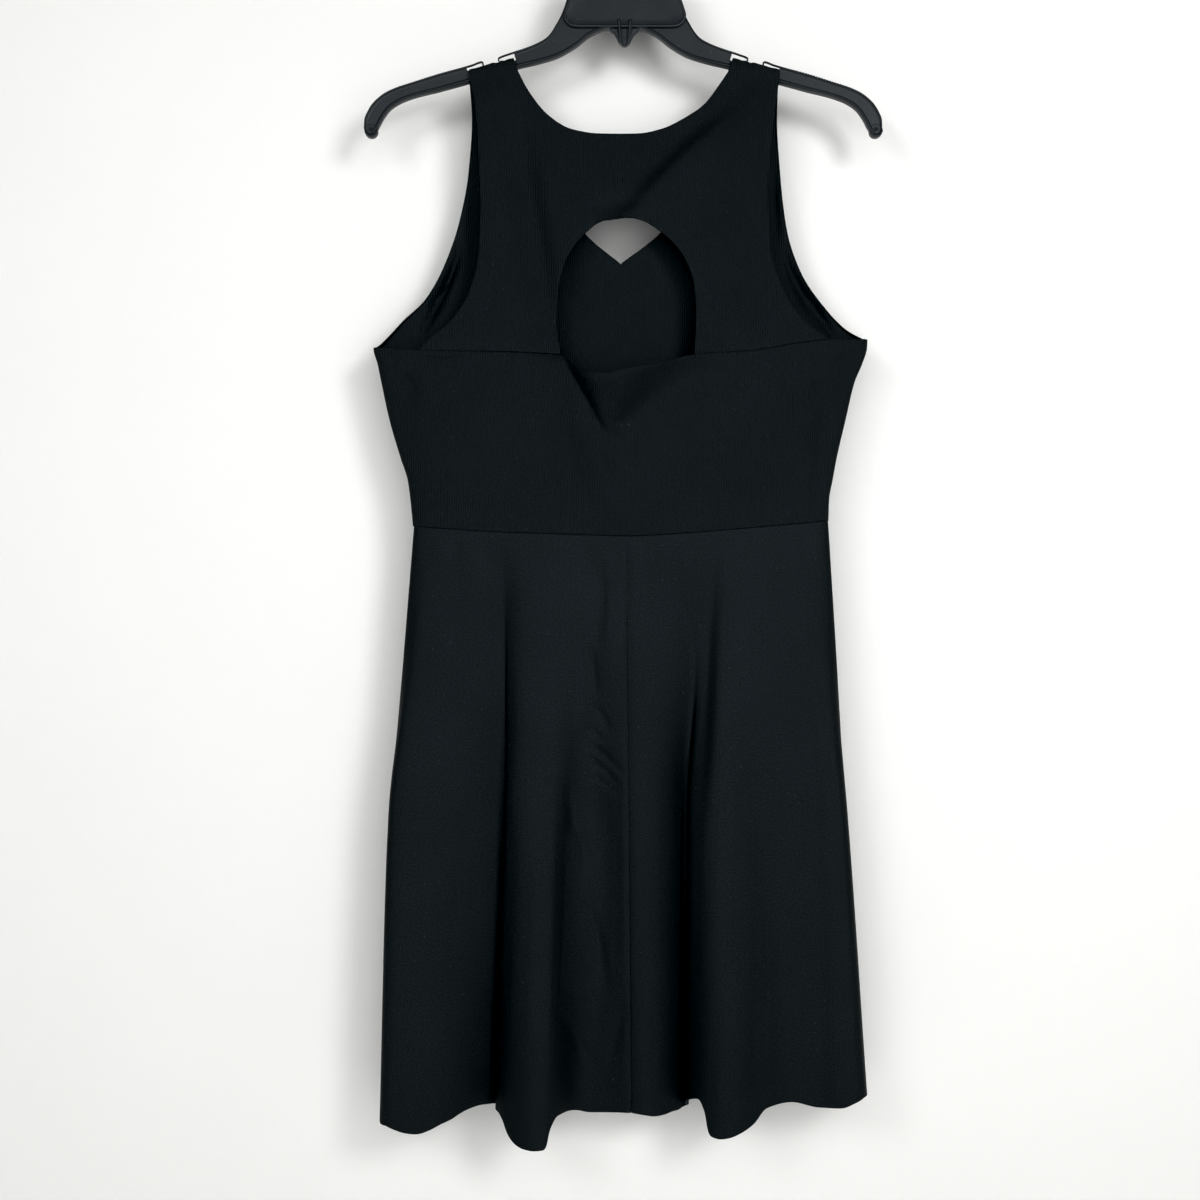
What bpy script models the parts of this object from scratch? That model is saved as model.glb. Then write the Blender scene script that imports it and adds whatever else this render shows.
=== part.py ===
"""A sleeveless knee-length athletic dress with a keyhole back, hung on a moulded hanger.

Lengths below are millimetres, and make_object() turns them into metres. X runs to the right as one
looks at the back of the dress, which faces -Y, and Z runs up. The origin is the inner crown of the
hook, where a rail carries it. Each piece of cloth is a grid of points on its outer face, and a
Solidify modifier gives it its wall.
"""

import bmesh
import bpy
import numpy as np

MM = 0.001

# Cloth
WALL = 1.3  # thickness of the knit
SEAM_GAP = 0.3  # space that two pieces keep at a seam
HALF_GAP = SEAM_GAP / 2
ROW_SLACK = 0.15  # more room where two grids of unlike columns meet
SIDE_BLUNTNESS = 6.0  # how squarely the flat tube of cloth turns at its sides
WAIST_DEPTH = 14.0  # how far each sheet stands from the middle plane at the waist
WAIST_CENTRE_X = 2.6
SKIRT_WIDTH = 450.0  # between the side seams, along the cloth, halfway down
V_POINT_X = -1.8
STRAP_DEPTH = 6.6  # how far a strap stands from the middle plane where it leaves the hanger
ARCH_SQUARENESS = 4.0  # how squarely a strap turns over the hanger
ARCH_ROWS = 6  # rows that carry a strap over the hanger
YOKE_CREASE_TOP_Z = -168.0  # the creases fade out towards the shoulders
YOKE_CREASE_FOOT_Z = -396.0  # and towards the seam with the back panel
FRONT_CREASE_FOOT_Z = -540.0

# Hanger
ARM_DEPTH = 8.0
WEB_THICKNESS = 2.6
RIM_HEIGHT = 1.7
NOTCH_DEPTH = 6.8
NOTCH_FLOOR_DEPTH = 5.0  # how deep, along Y, the floor that a strap lies on is
NOTCH_OUTER_X = 131.2
NOTCH_INNER_X = 91.0
SECTION_LEAN = 4.0  # how much nearer the middle a section's foot is, because the arms slope
INNER_LIP_END_X = 104.2
OUTER_LIP_END_X = 116.0
LIP_ROOT = 3.0  # how far a lip runs into the arm
LIP_HEIGHT = 1.2
LIP_DEPTH = 2.6
LIP_NIB = 3.0  # height of a lip's end, which keeps a strap in
LIP_CORNER = 0.8
LIP_SINK = 0.15  # how far a lip's top lies below the line of the rim
FACE_STEP = 0.2  # how far a lip and its arm's face differ, along Y
ARM_PLACES = 47  # sections along half the hanger
TILE_RISE = 1.3  # how far the centre tile stands past the rims
TILE_RIM = 1.4
TILE_RECESS = 0.5
SPIKE_DEPTH = 8.6
GROOVE_WIDTH = 3.4
GROOVE_FOOT_SHARE = 0.7  # how much narrower the groove is at its foot
GROOVE_TOP_Z = -126.5
GROOVE_FOOT_Z = -142.0
GROOVE_BACK_Y = 1.72
BOSS_RADIUS = 5.5
BOSS_TOP_Z = -69.0
BOSS_FOOT_Z = -96.0
SOCKET_CLEARANCE = 0.3

# Hook
WIRE_RADIUS = 1.8
CROWN_RADIUS = 21.0  # inner radius of the hook
HOOK_START_DEG = -38.0  # where the stem's bend meets the round, from the +X side
HOOK_END_DEG = 200.0
STEM_FOOT_Z = -84.0
STEM = ((0.0, STEM_FOOT_Z), (0.0, -66.0), (0.0, -58.0), (3.5, -51.0), (10.0, -43.5))
CROWN_PLACES = 25


def table(columns, *rows):
    """Turns rows of numbers into one array for each named column."""
    return dict(zip(columns.split(), np.array(rows, float).T))


# The sides of the dress between the under-arm seam and the waist.
SIDES = table(
    "z left right",
    (-386.0, -207.5, 203.3),
    (-394.0, -207.6, 202.8),
    (-407.0, -204.2, 198.8),
    (-421.0, -201.3, 192.8),
    (-453.0, -194.3, 185.0),
    (-486.0, -184.6, 177.2),
    (-503.0, -179.0, 174.0),
    (-520.0, -176.6, 171.0),
    (-552.0, -173.6, 170.0),
)

# The top edge of the back panel: under the arms, along the yoke's seams, and the free edge between.
UNDERARM = table(
    "x y z",
    (-207.6, 0.0, -393.6),
    (-207.3, -5.0, -393.6),
    (-198.0, -8.4, -394.4),
    (-168.7, -10.5, -396.3),
    (-52.0, -15.0, -400.9),
    (-46.0, -15.8, -405.2),
    (-38.5, -17.0, -412.0),
    (-30.0, -18.2, -416.9),
    (-17.0, -19.0, -418.9),
    (0.0, -18.8, -416.4),
    (30.0, -17.0, -410.4),
    (59.0, -15.0, -401.8),
    (105.0, -13.6, -397.3),
    (169.5, -10.5, -387.8),
    (194.0, -8.4, -387.0),
    (202.5, -5.0, -386.8),
    (202.8, 0.0, -386.8),
)

WAIST = table(
    "x z",
    (-173.7, -542.0),
    (-110.0, -546.6),
    (-48.0, -548.6),
    (3.6, -550.2),
    (44.0, -548.2),
    (105.0, -543.4),
    (170.1, -537.6),
)

# Each row is one fold line of the skirt, from the left side to the right one. Its place at the waist
# follows from its share of the hem.
BACK_FOLDS = table(
    "x_mid y_mid x_hem y_hem z_hem",
    (-194.0, 0.0, -200.0, 0.0, -1030.0),
    (-193.6, -6.0, -199.6, -8.0, -1030.5),
    (-186.0, -15.0, -190.0, -23.0, -1032.0),
    (-166.0, -20.0, -171.0, -32.0, -1033.5),
    (-138.0, -17.5, -145.0, -24.0, -1028.5),
    (-100.0, -9.5, -117.0, -3.0, -1022.0),
    (-84.0, -16.0, -97.0, -18.0, -1026.0),
    (-74.0, -24.0, -88.5, -40.0, -1037.5),
    (-62.0, -27.0, -72.0, -49.0, -1042.0),
    (-52.0, -22.0, -61.0, -41.0, -1041.0),
    (-47.0, -16.0, -59.0, -20.0, -1033.0),
    (-38.0, -11.0, -42.0, -6.0, -1026.5),
    (-16.0, -14.5, -18.0, -8.5, -1026.0),
    (4.6, -16.5, 6.6, -11.0, -1026.3),
    (24.0, -16.5, 28.0, -17.0, -1027.5),
    (37.0, -11.0, 46.0, -8.0, -1022.5),
    (49.0, -5.0, 60.0, 4.0, -1018.0),
    (58.0, -9.0, 67.5, -10.0, -1021.0),
    (63.0, -19.0, 66.0, -37.0, -1029.0),
    (76.0, -27.0, 79.0, -50.0, -1032.5),
    (97.0, -20.0, 101.0, -37.0, -1028.0),
    (116.0, -14.0, 114.0, -19.0, -1021.0),
    (136.0, -12.0, 137.0, -9.0, -1017.0),
    (160.0, -18.0, 169.0, -26.0, -1017.0),
    (177.0, -13.0, 191.0, -18.0, -1015.5),
    (184.6, -6.0, 200.6, -8.0, -1013.8),
    (185.0, 0.0, 201.0, 0.0, -1013.5),
)
CENTRE_BACK_ROW = 13

FRONT_FOLDS = table(
    "x_mid y_mid x_hem y_hem z_hem",
    (-194.0, 0.0, -200.0, 0.0, -1030.0),
    (-193.6, 6.0, -199.6, 8.0, -1030.0),
    (-184.0, 14.0, -188.0, 20.0, -1031.0),
    (-162.0, 19.0, -163.0, 31.0, -1033.0),
    (-130.0, 14.0, -137.0, 15.0, -1026.0),
    (-108.0, 20.0, -115.0, 33.0, -1030.0),
    (-94.0, 27.0, -98.0, 47.0, -1035.5),
    (-74.0, 21.0, -80.0, 32.0, -1030.0),
    (-52.0, 14.0, -56.0, 15.0, -1024.5),
    (-20.0, 18.0, -22.0, 24.0, -1026.5),
    (10.0, 15.0, 10.0, 17.0, -1025.0),
    (32.0, 21.0, 34.0, 34.0, -1029.5),
    (50.0, 26.0, 52.0, 45.0, -1034.0),
    (72.0, 19.0, 73.0, 30.0, -1029.0),
    (95.0, 13.0, 98.0, 14.0, -1021.0),
    (124.0, 19.0, 130.0, 29.0, -1022.0),
    (152.0, 17.0, 164.0, 24.0, -1019.0),
    (176.0, 13.0, 191.0, 17.0, -1015.5),
    (184.6, 6.0, 200.6, 8.0, -1013.8),
    (185.0, 0.0, 201.0, 0.0, -1013.5),
)

# Outlines of the yoke, as points (x, y, z) on its edges from the hanger down.
BACK_ARMHOLE_LEFT = (
    (-127.6, -STRAP_DEPTH, -169.0),
    (-122.6, -8.0, -188.0),
    (-119.5, -9.5, -225.0),
    (-117.3, -11.0, -277.0),
    (-119.0, -12.0, -318.0),
    (-126.5, -12.0, -348.0),
    (-141.5, -12.0, -372.0),
    (-158.0, -11.5, -386.6),
    (-168.7, -10.5, -396.3),
)
BACK_ARMHOLE_RIGHT = (
    (129.4, -STRAP_DEPTH, -168.0),
    (126.4, -8.0, -188.0),
    (122.0, -9.5, -224.0),
    (119.0, -11.0, -262.0),
    (120.3, -12.0, -308.0),
    (127.5, -12.0, -337.0),
    (140.5, -12.0, -362.5),
    (155.5, -11.5, -378.6),
    (169.5, -10.5, -387.8),
)
NECK_LEFT = (
    (-87.5, -STRAP_DEPTH, -165.0),
    (-80.5, -7.0, -178.5),
    (-62.5, -8.0, -201.5),
    (-42.5, -8.5, -213.6),
    (-20.0, -9.0, -217.3),
    (0.0, -9.0, -217.6),
)
NECK_RIGHT = (
    (87.5, -STRAP_DEPTH, -165.2),
    (80.0, -7.0, -176.2),
    (67.0, -7.6, -193.0),
    (54.0, -8.0, -202.4),
    (31.0, -8.5, -213.6),
    (13.0, -9.0, -217.3),
    (0.0, -9.0, -217.6),
)
YOKE_CENTRE = ((0.0, -9.0, -217.6), (0.0, -13.0, -288.2))
KEYHOLE_LEFT = (
    (0.0, -13.0, -288.2),
    (-15.7, -13.0, -289.6),
    (-32.8, -13.2, -301.2),
    (-48.0, -13.6, -323.0),
    (-54.8, -14.0, -350.0),
    (-55.7, -14.4, -374.0),
    (-52.0, -15.0, -400.9),
)
KEYHOLE_RIGHT = (
    (0.0, -13.0, -288.2),
    (10.5, -13.0, -289.0),
    (32.1, -13.2, -299.8),
    (50.3, -13.6, -319.8),
    (59.0, -14.0, -344.4),
    (60.3, -14.4, -368.0),
    (59.0, -15.0, -401.8),
)
# The two ends of each shoulder seam, which lies on the hanger.
SHOULDER_LEFT = ((-127.6, -161.9), (-91.9, -152.2))
SHOULDER_RIGHT = ((129.2, -161.7), (91.9, -152.2))

# Outlines of the front, in the same way.
FRONT_ARMHOLE_LEFT = (
    (-128.6, STRAP_DEPTH, -169.0),
    (-126.8, 8.0, -199.0),
    (-130.0, 10.5, -244.0),
    (-137.5, 12.0, -283.0),
    (-150.0, 12.5, -320.0),
    (-166.5, 12.0, -350.0),
    (-184.5, 10.0, -368.0),
    (-203.5, 5.0, -389.5),
    (-207.6, 0.0, -393.6),
)
FRONT_ARMHOLE_RIGHT = (
    (130.2, STRAP_DEPTH, -168.0),
    (129.6, 8.0, -199.0),
    (132.4, 10.5, -243.0),
    (138.5, 12.0, -292.0),
    (150.5, 12.5, -327.5),
    (171.5, 12.0, -358.5),
    (188.0, 10.0, -376.0),
    (200.5, 5.0, -384.5),
    (202.8, 0.0, -386.8),
)
V_NECK_LEFT = (
    (-89.2, STRAP_DEPTH, -165.0),
    (-80.5, 9.0, -190.0),
    (-68.0, 11.0, -224.5),
    (-53.0, 12.5, -261.5),
    (-33.0, 13.5, -293.6),
    (V_POINT_X, 14.0, -320.4),
)
V_NECK_RIGHT = (
    (88.6, STRAP_DEPTH, -164.0),
    (80.0, 9.0, -190.0),
    (69.0, 11.0, -224.5),
    (54.0, 12.5, -261.5),
    (33.0, 13.5, -293.0),
    (V_POINT_X, 14.0, -320.4),
)
FRONT_CENTRE_MID = (V_POINT_X, 14.0, -392.0)

# Large creases: the ends (x, z) of each, its half width and how far it stands out.
BACK_CREASES = table(
    "x0 z0 x1 z1 width out",
    (-40.0, -418.0, -12.0, -462.0, 9.0, -3.5),
    (22.0, -416.0, -10.0, -466.0, 12.0, -2.0),
    (-46.0, -410.0, 2.0, -536.0, 13.0, 1.6),
    (75.0, -190.0, 2.0, -272.0, 12.0, 1.6),
    (-81.0, -184.0, -58.0, -370.0, 12.0, 1.6),
)
FRONT_CREASES = table(
    "x0 z0 x1 z1 width out",
    (-143.0, -300.0, -160.0, -392.0, 8.0, 2.6),
    (148.0, -305.0, 158.0, -388.0, 8.0, 2.6),
    (-100.0, -330.0, -40.0, -470.0, 16.0, 2.0),
    (96.0, -330.0, 44.0, -480.0, 16.0, 2.0),
)

# The hanger's half outline, from the middle to the tip.
ARM_TOP = (
    (0.0, -75.5),
    (24.0, -75.5),
    (37.0, -78.5),
    (44.0, -90.0),
    (47.3, -104.7),
    (50.7, -114.6),
    (55.0, -123.0),
    (63.0, -134.6),
    (72.3, -140.2),
    (91.0, -147.0),
    (116.0, -154.8),
    (130.0, -158.9),
    (152.0, -164.9),
    (172.0, -171.2),
    (195.2, -179.6),
    (205.2, -187.7),
    (211.0, -196.0),
    (214.3, -204.3),
    (214.7, -211.5),
)
ARM_FOOT = (
    (0.0, -125.5),
    (6.0, -125.5),
    (12.0, -126.6),
    (26.3, -132.4),
    (40.5, -142.8),
    (55.0, -150.8),
    (70.0, -155.4),
    (88.5, -159.9),
    (128.4, -171.9),
    (152.6, -178.6),
    (175.0, -184.3),
    (187.6, -189.3),
    (195.0, -194.0),
    (201.0, -201.5),
    (205.2, -209.4),
    (209.0, -215.5),
)
TILE = table(
    "z half_width",
    (-77.5, 36.0),
    (-104.0, 46.5),
    (-115.0, 49.0),
    (-121.0, 48.5),
    (-124.6, 44.5),
)
SPIKE = table(
    "z half_width",
    (-118.0, 13.5),
    (-124.5, 12.0),
    (-128.5, 8.2),
    (-133.0, 6.8),
    (-137.0, 5.4),
    (-139.8, 2.4),
)


# ---------------------------------------------------------------- shapes


def smooth_through(knots, values, at):
    """Reads, at each place in at, the smooth curve through the values. It doesn't overshoot them."""
    knots, values = np.asarray(knots, float), np.asarray(values, float)
    values = values.reshape(len(knots), -1)
    span = np.diff(knots)[:, None]
    rise = np.diff(values, axis=0) / span
    before, after = rise[:-1], rise[1:]
    same_way = before * after > 0
    near, far = 2 * span[1:] + span[:-1], span[1:] + 2 * span[:-1]
    safe_before, safe_after = np.where(same_way, before, 1), np.where(same_way, after, 1)
    mean = (near + far) / (near / safe_before + far / safe_after)
    slope = np.concatenate([rise[:1], np.where(same_way, mean, 0), rise[-1:]])
    at = np.clip(np.asarray(at, float), knots[0], knots[-1])
    i = np.clip(np.searchsorted(knots, at) - 1, 0, len(knots) - 2)
    h = span[i]
    t = ((at - knots[i])[..., None]) / h
    start = (2 * t**3 - 3 * t**2 + 1) * values[i] + (t**3 - 2 * t**2 + t) * h * slope[i]
    end = (3 * t**2 - 2 * t**3) * values[i + 1] + (t**3 - t**2) * h * slope[i + 1]
    return (start + end).squeeze(-1) if values.shape[1] == 1 else start + end


def along(points, fractions):
    """Points at fractions of the length of the smooth curve through the given points."""
    points = np.array(points, float)
    steps = np.linalg.norm(np.diff(points, axis=0), axis=1)
    length = np.concatenate([[0], np.cumsum(steps)])
    return smooth_through(length, points, np.asarray(fractions) * length[-1])


def blunt(fraction):
    """0 at the side of the flat tube, rising steeply to 1 at its middle, where fraction is 1."""
    return (1 - np.abs(1 - fraction) ** SIDE_BLUNTNESS) ** (1 / SIDE_BLUNTNESS)


def creased(x, z, creases):
    """How far the creases push the cloth out at (x, z): a soft ridge along each line, gone at its ends."""
    total = np.zeros_like(x)
    for x0, z0, x1, z1, width, out in zip(*creases.values()):
        dx, dz = x1 - x0, z1 - z0
        length_squared = dx * dx + dz * dz
        place = ((x - x0) * dx + (z - z0) * dz) / length_squared
        nearest = np.clip(place, 0, 1)
        off_line = (x - x0 - nearest * dx) ** 2 + (z - z0 - nearest * dz) ** 2
        total += out * np.sin(np.pi * nearest) ** 0.7 * np.exp(-off_line / width**2)
    return total


def stretches(*steps_and_ends):
    """Fractions along an edge, given as (steps, end) for each stretch, with evenly spaced steps in each."""
    fractions, start = [0.0], 0.0
    for steps, end in steps_and_ends:
        fractions.extend(start + (end - start) * (k + 1) / steps for k in range(steps))
        start = end
    return np.array(fractions)


def joined(*rows):
    """Joins runs of points where each starts at the last point of the one before."""
    return np.concatenate([rows[0]] + [run[1:] for run in rows[1:]])


# ---------------------------------------------------------------- meshes


def material(name, colour, roughness, metallic=0.0):
    made = bpy.data.materials.new(name)
    made.use_nodes = True
    shader = made.node_tree.nodes["Principled BSDF"]
    shader.inputs["Base Color"].default_value = (*colour, 1.0)
    shader.inputs["Roughness"].default_value = roughness
    shader.inputs["Metallic"].default_value = metallic
    made.diffuse_color = (*colour, 1.0)
    return made


def make_object(name, points, faces, finish=None):
    mesh = bpy.data.meshes.new(name)
    mesh.from_pydata((np.asarray(points, float) * MM).tolist(), [], faces)
    mesh.validate()
    made = bpy.data.objects.new(name, mesh)
    bpy.context.scene.collection.objects.link(made)
    if finish:
        mesh.materials.append(finish)
    return made


def grid_faces(rows, columns, first=0, flip=False):
    """Quads of a grid whose points run row by row."""
    faces = []
    for r in range(rows - 1):
        for c in range(columns - 1):
            a = first + r * columns + c
            quad = (a, a + 1, a + columns + 1, a + columns)
            faces.append(quad[::-1] if flip else quad)
    return faces


def cloth(name, grids, finish, faces_back):
    """One piece of cloth from grids of outer points that run left to right and down, with its wall inside."""
    points, faces = [], []
    for grid in grids:
        rows, columns = grid.shape[:2]
        faces += grid_faces(rows, columns, first=sum(map(len, points)), flip=faces_back)
        points.append(grid.reshape(-1, 3))
    made = make_object(name, np.concatenate(points), faces, finish)
    weld = made.modifiers.new("centre line", "WELD")
    weld.merge_threshold = 0.0001
    wall = made.modifiers.new("wall", "SOLIDIFY")
    wall.thickness = WALL * MM
    wall.offset = -1
    return made


# ---------------------------------------------------------------- the dress

# Places across the flat tube, closer together where it turns at its sides.
TURN = (0.0, 0.0008, 0.006, 0.02, 0.05)


def across(inner_places):
    """Places from one side of the dress to the other, with the turns at both."""
    return np.concatenate([TURN, inner_places, 1 - np.array(TURN[::-1])])


def waist_ring(u, facing):
    """The waist at u, 0 at the left side and 1 at the right. facing is -1 for the back and 1 for the front."""
    left, right = WAIST["x"][0], WAIST["x"][-1]
    x = left + (right - left) * u + 4 * u * (1 - u) * (WAIST_CENTRE_X - (left + right) / 2)
    depth = HALF_GAP + WAIST_DEPTH * blunt(1 - np.abs(2 * u - 1))
    return np.stack([x, facing * depth, smooth_through(WAIST["x"], WAIST["z"], x)], -1)


def skirt_grid(folds, facing, u, downs):
    """Points of a skirt panel: u runs across and downs from the waist at 0 to the hem at 1."""
    hem = np.stack([folds["x_hem"], folds["y_hem"], folds["z_hem"]], -1)
    share = np.concatenate([[0], np.cumsum(np.linalg.norm(np.diff(hem, axis=0), axis=1))])
    share /= share[-1]
    middle = np.stack([folds["x_mid"], folds["y_mid"]], -1)
    top = waist_ring(u, facing)
    top[:, 2] -= HALF_GAP
    low = smooth_through(share, hem, u)
    mid = smooth_through(share, middle, u)
    mid = np.concatenate([mid, ((top + low) / 2)[:, 2:]], -1)
    for row in (mid, low):
        row[:, 1] += facing * HALF_GAP
    heights = np.stack([top, mid, low])
    return smooth_through((0, 0.5, 1), heights, downs).reshape(len(downs), len(u), 3)


def fold_share(folds, row):
    """Where, from 0 to 1 across the hem, one fold line lies."""
    hem = np.stack([folds["x_hem"], folds["y_hem"], folds["z_hem"]], -1)
    steps = np.linalg.norm(np.diff(hem, axis=0), axis=1)
    return steps[:row].sum() / steps.sum()


def build_skirt(finish):
    downs = np.linspace(0, 1, 11)
    seam = fold_share(BACK_FOLDS, CENTRE_BACK_ROW)
    half_seam = HALF_GAP / SKIRT_WIDTH
    left = np.concatenate([TURN, np.linspace(0.08, seam - half_seam, 19)])
    right = np.concatenate([np.linspace(seam + half_seam, 0.92, 19), 1 - np.array(TURN[::-1])])
    cloth("skirt_back_left", [skirt_grid(BACK_FOLDS, -1, left, downs)], finish, faces_back=True)
    cloth("skirt_back_right", [skirt_grid(BACK_FOLDS, -1, right, downs)], finish, faces_back=True)
    front = across(np.linspace(0.08, 0.92, 34))
    cloth("skirt_front", [skirt_grid(FRONT_FOLDS, 1, front, downs)], finish, faces_back=False)


def build_midriff(finish):
    """The back panel, from its top edge to the waist seam."""
    edge_x = UNDERARM["x"]
    width = edge_x[-1] - edge_x[0]
    marks = (edge_x[3:14] - edge_x[0]) / width
    between = np.concatenate([[0.16, 0.21, 0.26, 0.32], [0.59, 0.70, 0.81, 0.86]])
    u = across(np.unique(np.round(np.concatenate([marks, between]), 4)))
    x = edge_x[0] + width * u
    top = np.stack([x, smooth_through(edge_x, UNDERARM["y"], x), smooth_through(edge_x, UNDERARM["z"], x)], -1)
    low = waist_ring(u, -1)
    low[:, 2] += HALF_GAP
    top[:, 1] -= HALF_GAP
    t = np.linspace(0, 1, 12)[:, None]
    z = top[:, 2] + (low[:, 2] - top[:, 2]) * t
    left, right = (smooth_through(SIDES["z"][::-1], SIDES[side][::-1], z) for side in ("left", "right"))
    share_at_waist = (low[:, 0] - low[0, 0]) / (low[-1, 0] - low[0, 0])
    x = left + (right - left) * (u + (share_at_waist - u) * t)
    ease = t * t * (3 - 2 * t)
    y = top[:, 1] + (low[:, 1] - top[:, 1]) * ease - creased(x, z, BACK_CREASES) * np.sin(np.pi * u) ** 0.5
    cloth("back_midriff", [np.stack([x, y, z], -1)], finish, faces_back=True)


def shoulder_rows(shoulder, first_row, facing):
    """Rows that carry a strap from its first row up over the hanger, to the seam on top."""
    columns = len(first_row)
    v = np.linspace(0, 1, columns)[:, None]
    ends = np.array(shoulder)
    seam = ends[0] + (ends[1] - ends[0]) * v
    made = []
    for angle in np.linspace(np.pi / 2, 0, ARCH_ROWS)[:-1]:
        out = np.cos(angle) ** (2 / ARCH_SQUARENESS)
        up = np.sin(angle) ** (2 / ARCH_SQUARENESS)
        xz = first_row[:, ::2] + (seam - first_row[:, ::2]) * up
        y = facing * (HALF_GAP + (STRAP_DEPTH - HALF_GAP) * out)
        made.append(np.stack([xz[:, 0], np.full(columns, y), xz[:, 1]], -1))
    return np.stack(made)


def yoke_half(armhole, neck, keyhole, shoulder, columns):
    """One side of the yoke, ruled from its armhole to its neck, centre line and keyhole."""
    inner = joined(
        along(neck, np.linspace(0, 1, 9)),
        along(YOKE_CENTRE, np.linspace(0, 1, 5)),
        along(keyhole, np.linspace(0, 1, 11)),
    )
    outer = along(armhole, stretches((8, 0.36), (4, 0.54), (10, 1.0)))
    v = np.linspace(0, 1, columns)[:, None]
    grid = outer[:, None] * (1 - v) + inner[:, None] * v
    # The last row lies on the seam with the back panel.
    x = grid[-1, :, 0]
    grid[-1, :, 1] = smooth_through(UNDERARM["x"], UNDERARM["y"], x) - HALF_GAP
    grid[-1, :, 2] = smooth_through(UNDERARM["x"], UNDERARM["z"], x) + SEAM_GAP + ROW_SLACK
    x, z = grid[..., 0], grid[..., 2]
    fade = np.clip((z - YOKE_CREASE_FOOT_Z) / 30, 0, 1) * np.clip((YOKE_CREASE_TOP_Z - z) / 20, 0, 1)
    grid[..., 1] -= creased(x, z, BACK_CREASES) * fade
    return np.concatenate([shoulder_rows(shoulder, grid[0], -1), grid])


def build_yoke(finish):
    left = yoke_half(BACK_ARMHOLE_LEFT, NECK_LEFT, KEYHOLE_LEFT, SHOULDER_LEFT, 9)
    right = yoke_half(BACK_ARMHOLE_RIGHT, NECK_RIGHT, KEYHOLE_RIGHT, SHOULDER_RIGHT, 9)
    cloth("back_yoke", [left, right[:, ::-1]], finish, faces_back=True)


def front_half(armhole, v_neck, shoulder, side, u_side):
    """One side of the front, ruled from its armhole and side seam to its neck edge and centre line."""
    waist_centre = waist_ring(np.array([0.5]), 1)[0]
    waist_side = waist_ring(np.array([u_side]), 1)[0]
    neck_point = np.array(v_neck[-1])
    low_steps = 9  # rows from the under-arm seam to the waist
    inner = joined(
        along(v_neck, np.linspace(0, 1, 11)),
        np.linspace(neck_point, FRONT_CENTRE_MID, 6),
        np.linspace(FRONT_CENTRE_MID, waist_centre, low_steps + 1),
    )
    z = np.linspace(armhole[-1][2], waist_side[2], low_steps + 1)
    x = smooth_through(SIDES["z"][::-1], SIDES[side][::-1], z)
    seam = np.stack([x, np.zeros_like(z), z], -1)
    outer = joined(along(armhole, stretches((10, 0.62), (5, 1.0))), seam)
    v = np.array([0, 0.0016, 0.012, 0.04, 0.1, 0.2, 0.33, 0.48, 0.65, 0.82, 1.0])[:, None]
    grid = outer[:, None] * (1 - v) + inner[:, None] * v
    rise = blunt(v)[..., 0]
    grid[..., 1] = HALF_GAP + outer[:, 1, None] + (inner[:, 1] - outer[:, 1])[:, None] * rise
    # The last row is the waist itself, which curves.
    grid[-1] = waist_ring(u_side + (0.5 - u_side) * v[:, 0], 1)
    grid[-1, :, 2] += HALF_GAP
    x, z = grid[..., 0], grid[..., 2]
    fade = np.clip((z - FRONT_CREASE_FOOT_Z) / 40, 0, 1) * np.sin(np.pi * v[:, 0] / 2) ** 0.5
    grid[..., 1] += creased(x, z, FRONT_CREASES) * fade
    return np.concatenate([shoulder_rows(shoulder, grid[0], 1), grid])


def build_front(finish):
    left = front_half(FRONT_ARMHOLE_LEFT, V_NECK_LEFT, SHOULDER_LEFT, "left", 0.0)
    right = front_half(FRONT_ARMHOLE_RIGHT, V_NECK_RIGHT, SHOULDER_RIGHT, "right", 1.0)
    cloth("front_bodice", [left, right[:, ::-1]], finish, faces_back=False)


# ---------------------------------------------------------------- the hanger


def section_loop(foot, top, sideways, rim_depth):
    """An I-shaped section between two points (x, z) of the outline, as a loop of points."""
    foot_rim, top_rim, web = ARM_DEPTH / 2, rim_depth / 2, WEB_THICKNESS / 2
    height = np.linalg.norm(top - foot)
    up = (top - foot) / height
    steps = (0.0, RIM_HEIGHT, RIM_HEIGHT, height - RIM_HEIGHT, height - RIM_HEIGHT, height)
    depths = (foot_rim, foot_rim, web, web, top_rim, top_rim)
    near = [(foot + up * s, -d) for s, d in zip(steps, depths)]
    far = [(place, -d) for place, d in near[::-1]]
    return [(sideways * place[0], d, place[1]) for place, d in near + far]


def share_at(outline, x):
    """How far along a hanger outline, from 0 to 1, it reaches each x. It is read short of the tip."""
    shares = np.linspace(0, 0.9, 181)
    return np.interp(x, along(outline, shares)[:, 0], shares)


def arm_sections():
    """Places along half the hanger, as (foot, top, depth of the top rim), with the notch for a strap."""
    notch_x = np.array([NOTCH_INNER_X, NOTCH_OUTER_X])
    top_marks = share_at(ARM_TOP, notch_x)
    foot_marks = share_at(ARM_FOOT, notch_x - SECTION_LEAN)
    step = 0.0005
    sections = []
    for share in np.sort(np.concatenate([np.linspace(0, 1, ARM_PLACES), top_marks - step, top_marks + step])):
        foot_share = np.interp(share, [0, *top_marks, 1], [0, *foot_marks, 1])
        foot, top = along(ARM_FOOT, foot_share), along(ARM_TOP, share)
        rim_depth = ARM_DEPTH
        if NOTCH_INNER_X < top[0] < NOTCH_OUTER_X:
            top = top + (foot - top) / np.linalg.norm(foot - top) * NOTCH_DEPTH
            rim_depth = NOTCH_FLOOR_DEPTH
        sections.append((foot, top, rim_depth))
    return sections


def tube_faces(loops, size):
    """Quads between loops of points, one after another, closed by a face at each end."""
    faces = []
    for i in range(loops - 1):
        for k in range(size):
            j = (k + 1) % size
            faces.append((i * size + k, (i + 1) * size + k, (i + 1) * size + j, i * size + j))
    last = (loops - 1) * size
    return faces + [tuple(range(size)), tuple(range(last, last + size))[::-1]]


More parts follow.
